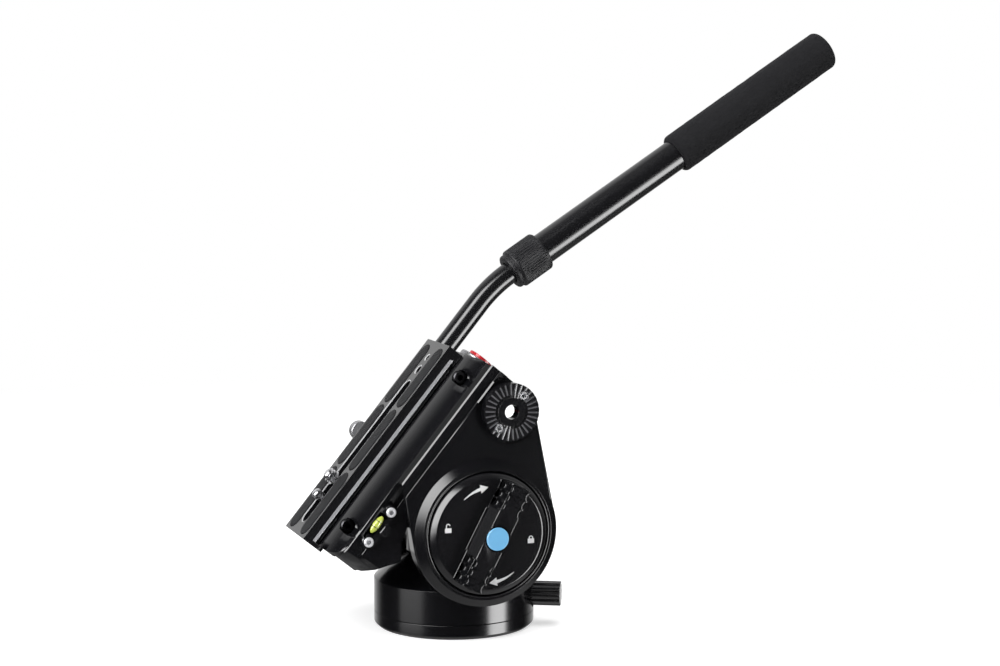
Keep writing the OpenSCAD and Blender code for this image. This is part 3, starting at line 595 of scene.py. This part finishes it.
def lathe(profile, place, steps=96, closed=False):
    """Turns an outline of radius and height in mm about the axis of a place."""
    part = bmesh.new()
    points = [part.verts.new((r, 0, z)) for r, z in profile]
    chain = [part.edges.new(pair) for pair in zip(points, points[1:])]
    if closed:
        chain.append(part.edges.new((points[-1], points[0])))
    bmesh.ops.spin(part, geom=points + chain, cent=(0, 0, 0), axis=(0, 0, 1), dvec=(0, 0, 0),
                   angle=math.tau, steps=steps, use_merge=True)
    weld(part, lathe_weld)
    bmesh.ops.recalc_face_normals(part, faces=part.faces)
    part.transform(place @ to_metres)
    return part


screw_shares = (0.16, 0.5, 0.55)


def cap_screw(axis, radius, foot, seat, top):
    """Turned screw with a hexagon socket, about an axis; sizes in mm."""
    edge, socket, shank = (radius * share for share in screw_shares)
    socket_floor = top - 2 * (top - seat)
    outline = [(0, foot), (shank, foot), (shank, seat), (radius, seat), (radius, top - edge),
               (radius - edge, top), (socket, top), (socket, socket_floor), (0, socket_floor)]
    screw = lathe(outline, to_mm, 24)
    for point in screw.verts:
        if abs(point.co.xy.length - socket) < tolerance:
            turn = math.atan2(point.co.y, point.co.x)
            off = (turn + math.pi / 6) % (math.pi / 3) - math.pi / 6
            point.co.xy = point.co.xy * math.cos(math.pi / 6) / math.cos(off)
    screw.transform(axis @ to_metres)
    return screw


def cap_screws(node, place, name, material, head_height, *stands_for):
    """Screws of a node that stand along the axis of a place, as one piece with sockets."""
    whole = bmesh.new()
    for low, high in solids(node, place):
        if high.z < 0:
            continue
        middle = (low + high) / 2
        radius = (high.x - low.x) / 2
        axis = moved(place, middle.x, middle.y)
        add_part(whole, cap_screw(axis, radius, low.z, high.z - head_height, high.z))
    fit(whole, name, body_of(node), material, slot_of[node], *stands_for)


receiver = machined("receiver")
receiver.transform(to_platform)
receiver_rear = max(v.co.x for v in receiver.verts)
receiver_half = max(v.co.y for v in receiver.verts)
channel_half = 21.5
shoulder_top = 51.5
shoulder_r = 20.5
shoulder_half = 37.3
cut_round = 6
rear_round = 1.2
rear_chamfer = 1.3
station = -46
station_step = 4
while station < receiver_rear - 1:
    bmesh.ops.bisect_plane(receiver, geom=receiver.verts[:] + receiver.edges[:] + receiver.faces[:],
                           plane_co=(station, 0, 0), plane_no=(1, 0, 0), dist=1e-4)
    station += station_step
for point in receiver.verts:
    side = math.copysign(1, point.co.y)
    out = abs(point.co.y)
    run = min(max(out - channel_half, 0), shoulder_r)
    arch = shoulder_top - shoulder_r + math.sqrt(shoulder_r ** 2 - run ** 2)
    on_shoulder = run > 0 and abs(arch - point.co.z) < 0.05
    past = point.co.x - receiver_rear + cut_round, out - receiver_half + cut_round
    if min(past) > -tolerance and math.hypot(*past) > cut_round - 0.05:
        turn = math.atan2(past[1], past[0])
        point.co.x = receiver_rear - rear_round + rear_round * math.cos(turn)
        out = receiver_half - rear_round + rear_round * math.sin(turn)
    share = max(out - channel_half, 0) / (receiver_half - channel_half)
    if share > 0:
        point.co.y = side * (channel_half + share * (shoulder_half - channel_half))
    if on_shoulder:
        point.co.z = shoulder_top - (shoulder_top - frame_top) * share ** 2
rear_edges = [e for e in receiver.edges if e.is_convex and e.calc_face_angle(0) > 0.8
              and all(v.co.x > receiver_rear - tolerance and v.co.z > frame_top + 1 for v in e.verts)
              and abs(e.verts[0].co.y - e.verts[1].co.y) > 0.05]
receiver.transform(platform @ to_metres)
bevel(receiver, rear_edges, rear_chamfer, segments=1, clamp=False)
replace_node(receiver, "receiver", satin_black)
lip_in, lip_out = 16.4, 20.6
facing_h, facing_sink, facing_short = 0.26, 0.1, 0.4
for node in ("fixed_rail", "clamp_jaw"):
    dress(node, drawn_metal, 0.15)
    low, high = solids(node, platform)[0]
    side = -1 if low.y < 0 else 1
    facing = block(((low.x + high.x) / 2, side * (lip_in + lip_out) / 2, high.z - facing_sink),
                   (high.x - low.x - facing_short, lip_out - lip_in, facing_h))
    facing.transform(platform @ to_metres)
    break_edges(facing, 0.05, 1)
    fit(facing, node + "_facing", body_of(node), ground_metal, "rail_metal")
cap_screws("rail_screws", near_side, "rail_screws_finished", dark_steel, 2.6, "rail_screws")
coat(dark_steel, "receiver_screws")

# Lock bezel and far cover
# A turned ring with a rounded bevel frames the lock knob on the near cheek; a plain turned cover
# held by three screws closes the far cheek. Both are anodised satin black.


def arc(x, y, radius, start, end, steps=8):
    """Points on a round stretch of an outline, from one angle to another."""
    turns = [math.radians(start + (end - start) * i / steps) for i in range(steps + 1)]
    return [(x + radius * math.cos(t), y + radius * math.sin(t)) for t in turns]


bezel_low, bezel_high = solids("lock_bezel", near_side)[0]
bezel_r = (bezel_high.x - bezel_low.x) / 2
bezel_lip_r = 28.2
lip_w = 1.0
lip_round = 0.48
bezel_profile = ([(bezel_lip_r, bezel_low.z), (bezel_r, bezel_low.z), (bezel_r, bezel_low.z + 0.25)]
                 + arc(bezel_r - 0.35, bezel_low.z + 0.3, 0.35, 0, 36, 3)
                 + arc(bezel_lip_r + 1.9, bezel_low.z + 2.55, 0.4, 37, 90, 4)
                 + [(bezel_lip_r + lip_w, bezel_low.z + 2.9)]
                 + arc(bezel_lip_r + lip_w - lip_round, bezel_high.z - lip_round, lip_round, 0, 90, 4)
                 + arc(bezel_lip_r + lip_round, bezel_high.z - lip_round, lip_round, 90, 180, 4))
replace_node(lathe(bezel_profile, near_side, 160, closed=True), "lock_bezel", satin_black)
dress("far_cover", satin_black, 0.3)

# Rosettes
# A toothed disc on each cheek takes the handle clamp. Its fine radial grooves are painted light grey
# as a painted highlight, and two small bright screws sit in the teeth.
# Light grey painted along the rosette grooves as a painted highlight.
groove_highlight_tone = (0.16, 0.16, 0.17)
groove_depth = (0.3, 0.1)
groove_fade = 0.3
teeth_from, teeth_to = 7.6, 12.6


def teeth_highlight_finish(name, middle):
    """Black finish with a painted highlight in light grey along its radial grooves, about the middle of a
    rosette.
    """
    material = finish(name, *black_tones, 0.14, 0.2, 2600, 0.001)
    tree = material.node_tree
    nodes, links = tree.nodes, tree.links
    shader = nodes["Principled BSDF"]
    place = nodes.new("ShaderNodeTexCoord").outputs["Object"]
    reach = nodes.new("ShaderNodeVectorMath")
    reach.operation = "DISTANCE"
    links.new(place, reach.inputs[0])
    reach.inputs[1].default_value = middle
    axes = nodes.new("ShaderNodeSeparateXYZ")
    links.new(place, axes.inputs[0])
    out = math_node(tree, "ABSOLUTE", axes.outputs["Y"])
    # Mask of the grooves that carry the painted highlight.
    groove_highlight = fade_node(tree, out, *((rosette[1].z - x) / 1000 for x in reversed(groove_depth)))
    for edges in ((teeth_from, teeth_from + groove_fade), (teeth_to, teeth_to - groove_fade)):
        ring = fade_node(tree, reach.outputs["Value"], *(x / 1000 for x in edges))
        groove_highlight = math_node(tree, "MULTIPLY", groove_highlight, ring)
    blend = nodes.new("ShaderNodeMix")
    blend.data_type = "RGBA"
    links.new(groove_highlight, blend.inputs[0])
    links.new(shader.inputs["Base Color"].links[0].from_socket, blend.inputs[6])
    blend.inputs[7].default_value = (*groove_highlight_tone, 1)
    links.new(blend.outputs[2], shader.inputs["Base Color"])
    return material


for node, place in (("near_rosette", near_side), ("far_rosette", far_side)):
    low, high = solids(node, place)[0]
    middle = Vector(((low.x + high.x) / 2, (low.y + high.y) / 2, high.z))
    dress(node, teeth_highlight_finish(node + "_black", place @ (middle / 1000)), 0.1, 1)
cap_screws("rosette_screws", near_side, "near_rosette_screws", bright_steel, 1.7, "rosette_screws")
cap_screws("rosette_screws", far_side, "far_rosette_screws", bright_steel, 1.7)
cap_screws("cover_screws", far_side, "cover_screws_finished", dark_steel, 1.6, "cover_screws")

# Spirit level
# A small moulded housing on the front of the frame holds a yellow-green vial of liquid with two
# dark rings and a pale patch painted inside it as a highlight. Two bright socket screws hold it.
knob_black = finish("knob_black", (0.005, 0.005, 0.006), (0.007, 0.007, 0.008), 0.14, 0.19, 3000, 0.002)
vial_liquid = finish("vial_liquid", (0.42, 0.50, 0.06), (0.58, 0.66, 0.12), 0.06, 0.1, 400, 0.001,
                     coat=0.5)
pale_zinc = finish("pale_zinc", (0.62, 0.62, 0.64), (0.74, 0.74, 0.76), 0.25, 0.32, 1200, 0.001,
                   metallic=0.35)
# Pale yellow for a painted highlight in the vial.
pale_vial_highlight = finish("pale_vial_highlight", (0.75, 0.80, 0.38), (0.85, 0.88, 0.5), 0.06, 0.1, 400, 0.001)
boss_middle, boss_size = (-26.6, 37.7, 41.2), (5.4, 3.6, 3.6)
housing_chamfer = 0.45
housing_weld_m = 0.0001
square_turn = 1
level_housing = machined("level_housing")
boss = block(boss_middle, boss_size)
boss.transform(near_side @ to_metres)
add_part(level_housing, boss)
weld(level_housing, housing_weld_m)
housing_edges = [e for e in level_housing.edges if e.is_convex and e.calc_face_angle(0) > square_turn]
bevel(level_housing, housing_edges, housing_chamfer, segments=1, clamp=False)
replace_node(level_housing, "level_housing", knob_black)
cap_screws("level_screws", near_side, "level_screws_finished", pale_zinc, 1.1, "level_screws")
vial_low, vial_high = solids("level_vial", platform)[0]
vial_r = (vial_high.z - vial_low.z) / 2
vial_half = (vial_high.x - vial_low.x) / 2
vial_middle = (vial_low.x + vial_high.x) / 2
vial_axis = moved(platform, 0, vial_low.y + vial_r, vial_low.z + vial_r) @ quarter_y
vial_rows = 12
vial_outline = [(vial_r * math.sqrt(max(1 - (i / vial_rows) ** 2, 0)),
                 vial_middle + vial_half * i / vial_rows) for i in range(-vial_rows, vial_rows + 1)]
replace_node(lathe(vial_outline, vial_axis, 40), "level_vial", vial_liquid)
band_off, band_half, band_in, band_out = 1.5, 0.14, vial_r - 0.1, vial_r + 0.03
vial_rings = bmesh.new()
for middle in (vial_middle - band_off, vial_middle + band_off):
    band = [(band_in, middle - band_half), (band_out, middle - band_half),
            (band_out, middle + band_half), (band_in, middle + band_half)]
    add_part(vial_rings, lathe(band, vial_axis, 40, closed=True))
fit(vial_rings, "level_vial_rings", body_of("level_vial"), knob_black, "black_knob")
# Pale patch inside the vial, a painted highlight.
highlight_middle, highlight_size = (-0.62, 1.1, vial_middle + 0.2), (0.66, 0.66, 1.25)
vial_highlight = bmesh.new()
bmesh.ops.create_uvsphere(vial_highlight, u_segments=20, v_segments=12, radius=1)
vial_highlight.transform(vial_axis @ to_metres @ Matrix.Translation(highlight_middle)
                 @ Matrix.Diagonal((*highlight_size, 1)))
fit(vial_highlight, "level_vial_highlight", body_of("level_vial"), pale_vial_highlight, "vial_green")

# Safety catch
# A red moulded push button in a light metal collar at the rear of the frame. Its ramp lets the
# steel latch drop out of the plate's way.
red_plastic = finish("red_plastic", (0.42, 0.012, 0.018), (0.52, 0.02, 0.025), 0.25, 0.35, 1500, 0.003)
light_metal = finish("light_metal", (0.28, 0.28, 0.29), (0.38, 0.38, 0.39), 0.3, 0.42, 900, 0.004,
                     metallic=0.9)
dress("safety_button", red_plastic, 0.5, 3)
collar_low, collar_high = solids("button_collar", platform)[0]
ring_axis = moved(platform, z=(collar_low.z + collar_high.z) / 2) @ quarter_y
ring_bore = 6.25
ring_chamfer = 0.4
ring_r = 9.5
ring_round = 0.6
ring_outline = ([(ring_bore, collar_low.x), (ring_r, collar_low.x)]
                + arc(ring_r - ring_round, collar_high.x - ring_round, ring_round, 0, 90, 5)
                + [(ring_bore + ring_chamfer, collar_high.x), (ring_bore, collar_high.x - ring_chamfer)])
replace_node(lathe(ring_outline, ring_axis, 96, closed=True), "button_collar", light_metal)
coat(bright_steel, "button_spring", "safety_latch")

# Tilt lock knob
# A broad moulded knob with a raised wing bar for the fingers and a fine ridge along each side of
# the bar. A glossy blue disc is set in the middle of the bar, and white arrows and small padlocks
# printed on the face show how it turns.
blue_plastic = finish("blue_plastic", (0.17, 0.48, 0.80), (0.21, 0.54, 0.86), 0.1, 0.16, 600, 0.001,
                      coat=0.3)
white_print = finish("white_print", (0.76, 0.76, 0.76), (0.84, 0.84, 0.84), 0.4, 0.5, 3000, 0.002)
knob_front = Matrix.Translation((0, 0, tilt_axis.z)) @ quarter_x
knob_round = 0.6
knob_weld_m = 0.00001
stray_m = 0.0003
lock_knob = machined("tilt_lock_knob")
weld(lock_knob, knob_weld_m)
knob_surface = BVHTree.FromBMesh(lock_knob)
bevel(lock_knob, sharp_edges(lock_knob), knob_round, segments=3, clamp=False)
for point in lock_knob.verts:
    nearest, _, _, away = knob_surface.find_nearest(point.co)
    if away > stray_m:
        point.co = nearest
replace_node(lock_knob, "tilt_lock_knob", knob_black)
knob_face = 51.5
wing_angle = 62
wing_front = knob_front @ Matrix.Rotation(math.radians(wing_angle), 4, "Z")
ridge_r, ridge_half, ridge_off, ridge_tip = 0.45, 10.4, 7.5, 0.3
ridge_outline = [(0, -ridge_half - ridge_tip), (ridge_r, -ridge_half), (ridge_r, ridge_half),
                 (0, ridge_half + ridge_tip)]
ridges = bmesh.new()
for side in (-ridge_off, ridge_off):
    add_part(ridges, lathe(ridge_outline, moved(wing_front, 0, side, knob_face) @ quarter_y, 16))
fit(ridges, "knob_wing_ridges", "tilt_lock_knob", knob_black, "black_knob")
coat(bearing_bronze, "tilt_brake_pad")
dot_low, dot_high = solids("knob_dot", knob_front)[0]
dot_r = (dot_high.x - dot_low.x) / 2
dot_outline = ([(0, dot_low.z), (dot_r, dot_low.z)] + arc(dot_r - 0.3, dot_high.z - 0.35, 0.3, 0, 100, 6)
               + [(dot_r - 0.75, dot_high.z - 0.2), (dot_r * 0.5, dot_high.z - 0.06), (0, dot_high.z)])
replace_node(lathe(dot_outline, knob_front, 64), "knob_dot", blue_plastic)
print_sink = 0.05
print_lift = 0.04


def ink_ribbon(part, inner, outer):
    """Flat printed strip between two lines of as many points each."""
    rows = [[part.verts.new((x, y, knob_face - print_sink)) for x, y in line] for line in (inner, outer)]
    for line in rows:
        for pair in zip(line, line[1:]):
            part.edges.new(pair)
    edges = [e for line in rows for v, w in zip(line, line[1:]) for e in v.link_edges if w in e.verts]
    bmesh.ops.bridge_loops(part, edges=edges)


def polar(radius, angle, x=0, y=0):
    """Point at a radius and an angle in degrees about a middle."""
    return x + radius * math.cos(math.radians(angle)), y + radius * math.sin(math.radians(angle))


def points_of(geometry):
    """Points among the elements that an operator gives back."""
    return [v for v in geometry if isinstance(v, bmesh.types.BMVert)]


arrow_turns = (0, -184.4)
shaft_start, shaft_span, shaft_steps = 126.7, 24.2, 12
shaft_r, shaft_spread, shaft_half, shaft_widen = 20.8, 0.75, 0.12, 0.62
head_start, head_tip = 102.5, 93.1
head_r, tip_r = (19.6, 23.5), (21.7, 21.9)
padlocks = ((*polar(20.2, 170), 0.7), (*polar(19.6, -11), 0.0))
case_half, case_foot, case_top = 1.5, 1.2, 0.9
bow_in, bow_out, bow_rise = 0.62, 1.02, 1.2
bow = range(0, 181, 15)
marks = bmesh.new()
for turn in arrow_turns:
    shaft = [(turn + shaft_start - shaft_span * i / shaft_steps,
              shaft_r + shaft_spread * i / shaft_steps,
              shaft_half + shaft_widen * i / shaft_steps) for i in range(shaft_steps + 1)]
    ink_ribbon(marks, [polar(r - w, a) for a, r, w in shaft], [polar(r + w, a) for a, r, w in shaft])
    ink_ribbon(marks, *([polar(r, turn + head_start), polar(tip, turn + head_tip)]
                        for r, tip in zip(head_r, tip_r)))
for x, y, lift in padlocks:
    case = x - case_half, x + case_half
    ink_ribbon(marks, [(e, y - case_foot) for e in case], [(e, y + case_top) for e in case])
    bow_y = y + bow_rise + lift
    ink_ribbon(marks, *([polar(r, a, x, bow_y) for a in bow] for r in (bow_in, bow_out)))
    legs = [(x - bow_out, x - bow_in)]
    if lift == 0:
        legs.append((x + bow_in, x + bow_out))
    for leg in legs:
        ink_ribbon(marks, [(e, y + case_top) for e in leg], [(e, bow_y) for e in leg])
raised = bmesh.ops.extrude_face_region(marks, geom=marks.faces[:])["geom"]
bmesh.ops.translate(marks, verts=points_of(raised), vec=(0, 0, print_sink + print_lift))
bmesh.ops.recalc_face_normals(marks, faces=marks.faces)
marks.transform(knob_front @ to_metres)
fit(marks, "knob_marks", "tilt_lock_knob", white_print, "grey_metal")

# Plate lock
# A short turned knob of plain metal on the far side tightens the clamp jaw on the plate. A shallow
# groove runs round it.
knob_metal = finish("knob_metal", (0.30, 0.30, 0.31), (0.40, 0.40, 0.41), 0.3, 0.42, 1200, 0.003,
                    metallic=0.85)
lock_low, lock_high = solids("plate_lock_knob", far_side)[0]
lock_middle = (lock_low + lock_high) / 2
lock_axis = moved(far_side, lock_middle.x, lock_middle.y)
lock_r = (lock_high.x - lock_low.x) / 2
lock_foot, lock_end = lock_low.z, lock_high.z
lock_outline = ([(0, lock_foot), (lock_r - 1.6, lock_foot)]
                + arc(lock_r - 0.7, lock_foot + 0.7, 0.7, -90, 0, 5)
                + [(lock_r, lock_foot + 2.0), (lock_r - 0.5, lock_foot + 2.3),
                   (lock_r - 0.5, lock_foot + 3.0)]
                + arc(lock_r - 1.1, lock_end - 1.1, 1.1, 0, 90, 6) + [(0, lock_end)])
fit(lathe(lock_outline, lock_axis, 64), "plate_lock_knob_finished", "plate_lock_knob", knob_metal,
    "grey_metal", "plate_lock_knob")
coat(bright_steel, "plate_lock_screw")

# Camera plate
# An extruded glossy black plate slides in the receiver. The chamfers round its slot and holes are
# painted light grey as a painted highlight, and six ribbed rubber pads sit in pockets along both sides.
plate_metal = finish("plate_metal", (0.007, 0.007, 0.008), (0.010, 0.010, 0.011), 0.13, 0.2, 2500, 0.001,
                     specular=0.6)
pad_rubber = finish("pad_rubber", (0.006, 0.006, 0.007), (0.012, 0.012, 0.013), 0.6, 0.75, 4000, 0.01,
                    specular=0.25)
# Light grey for the slot chamfers, a painted highlight.
rim_highlight = finish("rim_highlight", (0.42, 0.42, 0.43), (0.52, 0.52, 0.53), 0.5, 0.6, 2500, 0.001)
slot_rim = 0.4
slot_reach = 3.6
rim_skin_m = 0.00004
plate_top = solids("quick_plate", platform)[0][1].z
plate = machined("quick_plate")
plate.transform(to_platform)
rims = [e for e in plate.edges if e.calc_face_angle(0) > square_turn
        and all(v.co.z > plate_top - tolerance and abs(v.co.y) < slot_reach for v in e.verts)]
plate.transform(platform @ to_metres)
rim_faces = bevel(plate, rims, slot_rim, segments=2, clamp=False)
plate.faces.index_update()
rim_numbers = {f.index for f in rim_faces}
# Thin skin over the slot chamfers that carries the painted highlight.
rim_highlight_skin = plate.copy()
others = [f for f in rim_highlight_skin.faces if f.index not in rim_numbers]
bmesh.ops.delete(rim_highlight_skin, geom=others, context="FACES")
bmesh.ops.solidify(rim_highlight_skin, geom=rim_highlight_skin.faces[:], thickness=-rim_skin_m)
fit(rim_highlight_skin, "plate_slot_rims", "plate", rim_highlight, "plate_grey")
break_edges(plate, 0.2, sharper_than=50)
replace_node(plate, "quick_plate", plate_metal)


def close_up(part):
    """Fills the open rims of a part and turns its faces outwards."""
    bmesh.ops.holes_fill(part, edges=[e for e in part.edges if e.is_boundary], sides=0)
    bmesh.ops.recalc_face_normals(part, faces=part.faces)


rib_pitch = 0.8
rib_depth = 0.22
crown_from, crown_fall = 0.6, 0.2
pads = bmesh.new()
for low, high in solids("plate_pads", platform):
    length, half = high.x - low.x, (high.y - low.y) / 2
    pad = bmesh.new()
    bmesh.ops.create_grid(pad, x_segments=2 * round(length / rib_pitch), y_segments=14, size=1)
    for point in pad.verts:
        x = (point.co.x + 1) / 2 * length
        past = max(half - x, x - (length - half), 0)
        width = math.sqrt(max(half * half - past * past, 0.02))
        crown = crown_fall * (max(abs(point.co.y) - crown_from, 0) / (1 - crown_from)) ** 2
        groove = rib_depth * (0.5 - 0.5 * math.cos(math.tau * x / rib_pitch))
        point.co = Vector((low.x + x, low.y + half + point.co.y * width, high.z - crown - groove))
    rim = [e for e in pad.edges if e.is_boundary]
    for point in points_of(bmesh.ops.extrude_edge_only(pad, edges=rim)["geom"]):
        point.co.z = low.z
    close_up(pad)
    pad.transform(platform @ to_metres)
    add_part(pads, pad)
replace_node(pads, "plate_pads", pad_rubber)

# Camera screw and pin
# The bright quarter-inch camera screw and the round-headed pin that keeps the camera from
# twisting both slide along the plate's slot.
thread_pitch = 1.27
thread_depth = 0.7
thread_gap = 0.6
screw_low, screw_high = solids("camera_screw", platform)[0]
screw_axis = moved(platform, (screw_low.x + screw_high.x) / 2)
screw_r = 3.175
core_r = screw_r - thread_depth
screw_outline = [(0, screw_low.z), (4.1, screw_low.z), (4.4, screw_low.z + 0.3), (4.4, screw_low.z + 3.6),
                 (2.6, screw_low.z + 3.6), (2.6, plate_top + 0.2), (screw_r + 0.2, plate_top + 0.2),
                 (screw_r + 0.2, plate_top + 0.55), (core_r, plate_top + thread_gap),
                 (core_r, screw_high.z - 0.5), (core_r - 0.5, screw_high.z), (0, screw_high.z)]
camera_screw = lathe(screw_outline, screw_axis, 48)
steps_per_turn = 32
thread_low = plate_top + thread_gap + thread_pitch / 2
turns = (screw_high.z - 0.15 - thread_pitch / 2 - thread_low) / thread_pitch
thread_steps = round(turns * steps_per_turn)
tooth_foot, tooth_crest = thread_pitch * 0.46, 0.1
thread = bmesh.new()
tooth = [thread.verts.new((r, 0, z)) for r, z in ((core_r - 0.1, -tooth_foot), (screw_r, -tooth_crest),
                                                  (screw_r, tooth_crest), (core_r - 0.1, tooth_foot))]
tooth_edges = [thread.edges.new(pair) for pair in zip(tooth, tooth[1:] + tooth[:1])]
bmesh.ops.spin(thread, geom=tooth + tooth_edges, cent=(0, 0, 0), axis=(0, 0, 1),
               dvec=(0, 0, thread_pitch / steps_per_turn), angle=math.tau * thread_steps / steps_per_turn,
               steps=thread_steps)
close_up(thread)
thread.transform(moved(screw_axis, z=thread_low) @ to_metres)
add_part(camera_screw, thread)
replace_node(camera_screw, "camera_screw", bright_steel)
coat(knob_black, "screw_washer")
pin_low, pin_high = solids("video_pin", platform)[0]
pin_axis = moved(platform, (pin_low.x + pin_high.x) / 2)
pin_outline = ([(0, pin_low.z), (4.3, pin_low.z), (4.3, pin_low.z + 2.2), (2.2, pin_low.z + 2.2),
                (2.2, plate_top + 0.9)] + arc(0.6, pin_high.z - 2.0, 1.9, -38, 0, 4)
               + arc(0.5, pin_high.z - 2.0, 2.0, 0, 90, 10) + [(0, pin_high.z)])
replace_node(lathe(pin_outline, pin_axis, 48), "video_pin", bright_steel)

# Handle clamp
# A cast barrel with a toothed face that grips the far rosette, pulled tight by a bolt with a small
# fluted knob.
dress("handle_clamp", satin_black, 0.25)
dress("handle_knob", knob_black, 0.4)
coat(bright_steel, "handle_bolt", "tube_screw")

# Handle tubes
# A bent inner tube and a straight outer one that slides over it, both drawn aluminium with a glossy
# black anodised finish.
handle_tones = (0.006, 0.006, 0.007), (0.010, 0.010, 0.011)
tube_black = finish("tube_black", *handle_tones, 0.16, 0.22, 500, 0.0002)
inner_r = 5.5
bend_r = 70
bend_turn = math.radians(17.7)
bend_run = bend_r * math.tan(bend_turn / 2)
bend_corner, tube_past_bend = 104, 121.9
bend_start = bend_corner - bend_run
tube_end_run = tube_past_bend - bend_run
tube_root = Vector((53.6, 60, 33.5))
inner_tube = bmesh.new()
bmesh.ops.create_circle(inner_tube, radius=inner_r, segments=48,
                        matrix=Matrix.Translation(tube_root) @ quarter_y)


def lead(part, edges, vector):
    """Extrudes a ring of edges along a vector and gives back the new ring."""
    grown = bmesh.ops.extrude_edge_only(part, edges=edges)["geom"]
    bmesh.ops.translate(part, verts=points_of(grown), vec=vector)
    return [e for e in grown if isinstance(e, bmesh.types.BMEdge)
            and all(v in grown for v in e.verts)]


straight = lead(inner_tube, inner_tube.edges[:], (bend_start - tube_root.x, 0, 0))
ring_points = list({v for e in straight for v in e.verts})
bent = bmesh.ops.spin(inner_tube, geom=straight + ring_points,
                      cent=(bend_start, tube_root.y, tube_root.z - bend_r), axis=(0, 1, 0),
                      angle=bend_turn, steps=12)["geom_last"]
bent_ring = [e for e in bent if isinstance(e, bmesh.types.BMEdge)]
lead(inner_tube, bent_ring, (tube_end_run * math.cos(bend_turn), 0, -tube_end_run * math.sin(bend_turn)))
close_up(inner_tube)
inner_tube.transform(platform @ to_metres)
replace_node(inner_tube, "inner_tube", tube_black)
dress("outer_tube", tube_black, 0.4)
coat(friction_plastic, "collet")

# Twist collar
# A ribbed rubber-clad collar on the end of the outer tube. A twist tightens it on the collet, which
# locks the two tubes together.
collar_rubber = finish("collar_rubber", *handle_tones, 0.45, 0.6, 3000, 0.006, specular=0.3)
tube_out = Vector(joints["tube_slide"]["axis"])
bend_point = Vector(joints["collar_twist"]["pos_m"]) - tube_out * 0.02
handle_axis = Matrix.Translation(bend_point) @ tube_out.to_track_quat("Z", "Y").to_matrix().to_4x4()
collar_start, collar_end, collar_r, collar_bore = 11.4, 31.4, 10.2, 8.1
collar_hole = inner_r + 0.4
ribs = 44
rib_steps = 8
rib_start, rib_stop, rib_fade, rib_dip = 3.6, 1.2, 1.2, 0.3
collar_outline = ([(collar_hole, collar_start)]
                  + arc(collar_r - 2.3, collar_start + 1.2, 1.2, -90, 0, 5)
                  + [(collar_r - 1.1, collar_start + 2.4)]
                  + arc(collar_r - 1.0, collar_start + 3.9, 1.0, -70, 0, 5)
                  + [(collar_r, collar_start + 5.2 + 1.3 * i) for i in range(10)]
                  + arc(collar_r - 1.4, collar_end - 1.4, 1.4, 0, 90, 7)
                  + [(collar_bore, collar_end), (collar_bore, collar_start + 1.3),
                     (collar_hole, collar_start + 1.3)])
collar = lathe(collar_outline, to_mm, ribs * rib_steps, closed=True)
for point in collar.verts:
    radius = point.co.xy.length
    rise = min(max((point.co.z - collar_start - rib_start) / rib_fade, 0), 1)
    fall = min(max((collar_end - rib_stop - point.co.z) / rib_fade, 0), 1)
    if radius > collar_bore + 0.4 and rise * fall > 0:
        angle = math.atan2(point.co.y, point.co.x)
        dip = rib_dip * rise * fall * (0.5 - 0.5 * math.cos(ribs * angle)) ** 1.5
        point.co.xy = point.co.xy * ((radius - dip) / radius)
collar.transform(handle_axis @ to_metres)
replace_node(collar, "lock_collar", collar_rubber)

# Foam grip
# A soft foam sleeve on the end of the handle, with rounded ends. Its skin has a fine grain and is
# very slightly uneven.
grip_foam = finish("grip_foam", *handle_tones, 0.85, 0.95, 1400, 0.12, specular=0.25)
grip_start, grip_end, grip_r, grip_round, grip_bore = 117.7, 218.1, 10.4, 2.4, 8.05
tube_stop = 214.35
grip_rows = 64
grip_ease = 0.08
broad_dents, fine_dents = (0.35, 0.09), (1.7, 0.05)
body_run = grip_end - grip_start - 2 * grip_round
grip_outline = ([(grip_bore, grip_start + 0.3)]
                + arc(grip_r - grip_round, grip_start + grip_round, grip_round, -80, 0, 7)
                + [(grip_r, grip_start + grip_round + body_run * i / grip_rows)
                   for i in range(1, grip_rows)]
                + arc(grip_r - grip_round, grip_end - grip_round, grip_round, 0, 90, 8)
                + [(5, grip_end), (2, grip_end), (0, grip_end), (0, tube_stop), (grip_bore, tube_stop)])
grip = lathe(grip_outline, to_mm, 96, closed=True)
for point in grip.verts:
    radius = point.co.xy.length
    if radius > grip_bore + 0.1:
        dent = sum(noise.noise(point.co * scale) * depth for scale, depth in (broad_dents, fine_dents))
        point.co.xy = point.co.xy * (1 - (grip_ease - dent) / radius)
grip.transform(handle_axis @ to_metres)
grip_piece = replace_node(grip, "foam_grip", grip_foam)
coat(knob_black, "grip_plug")
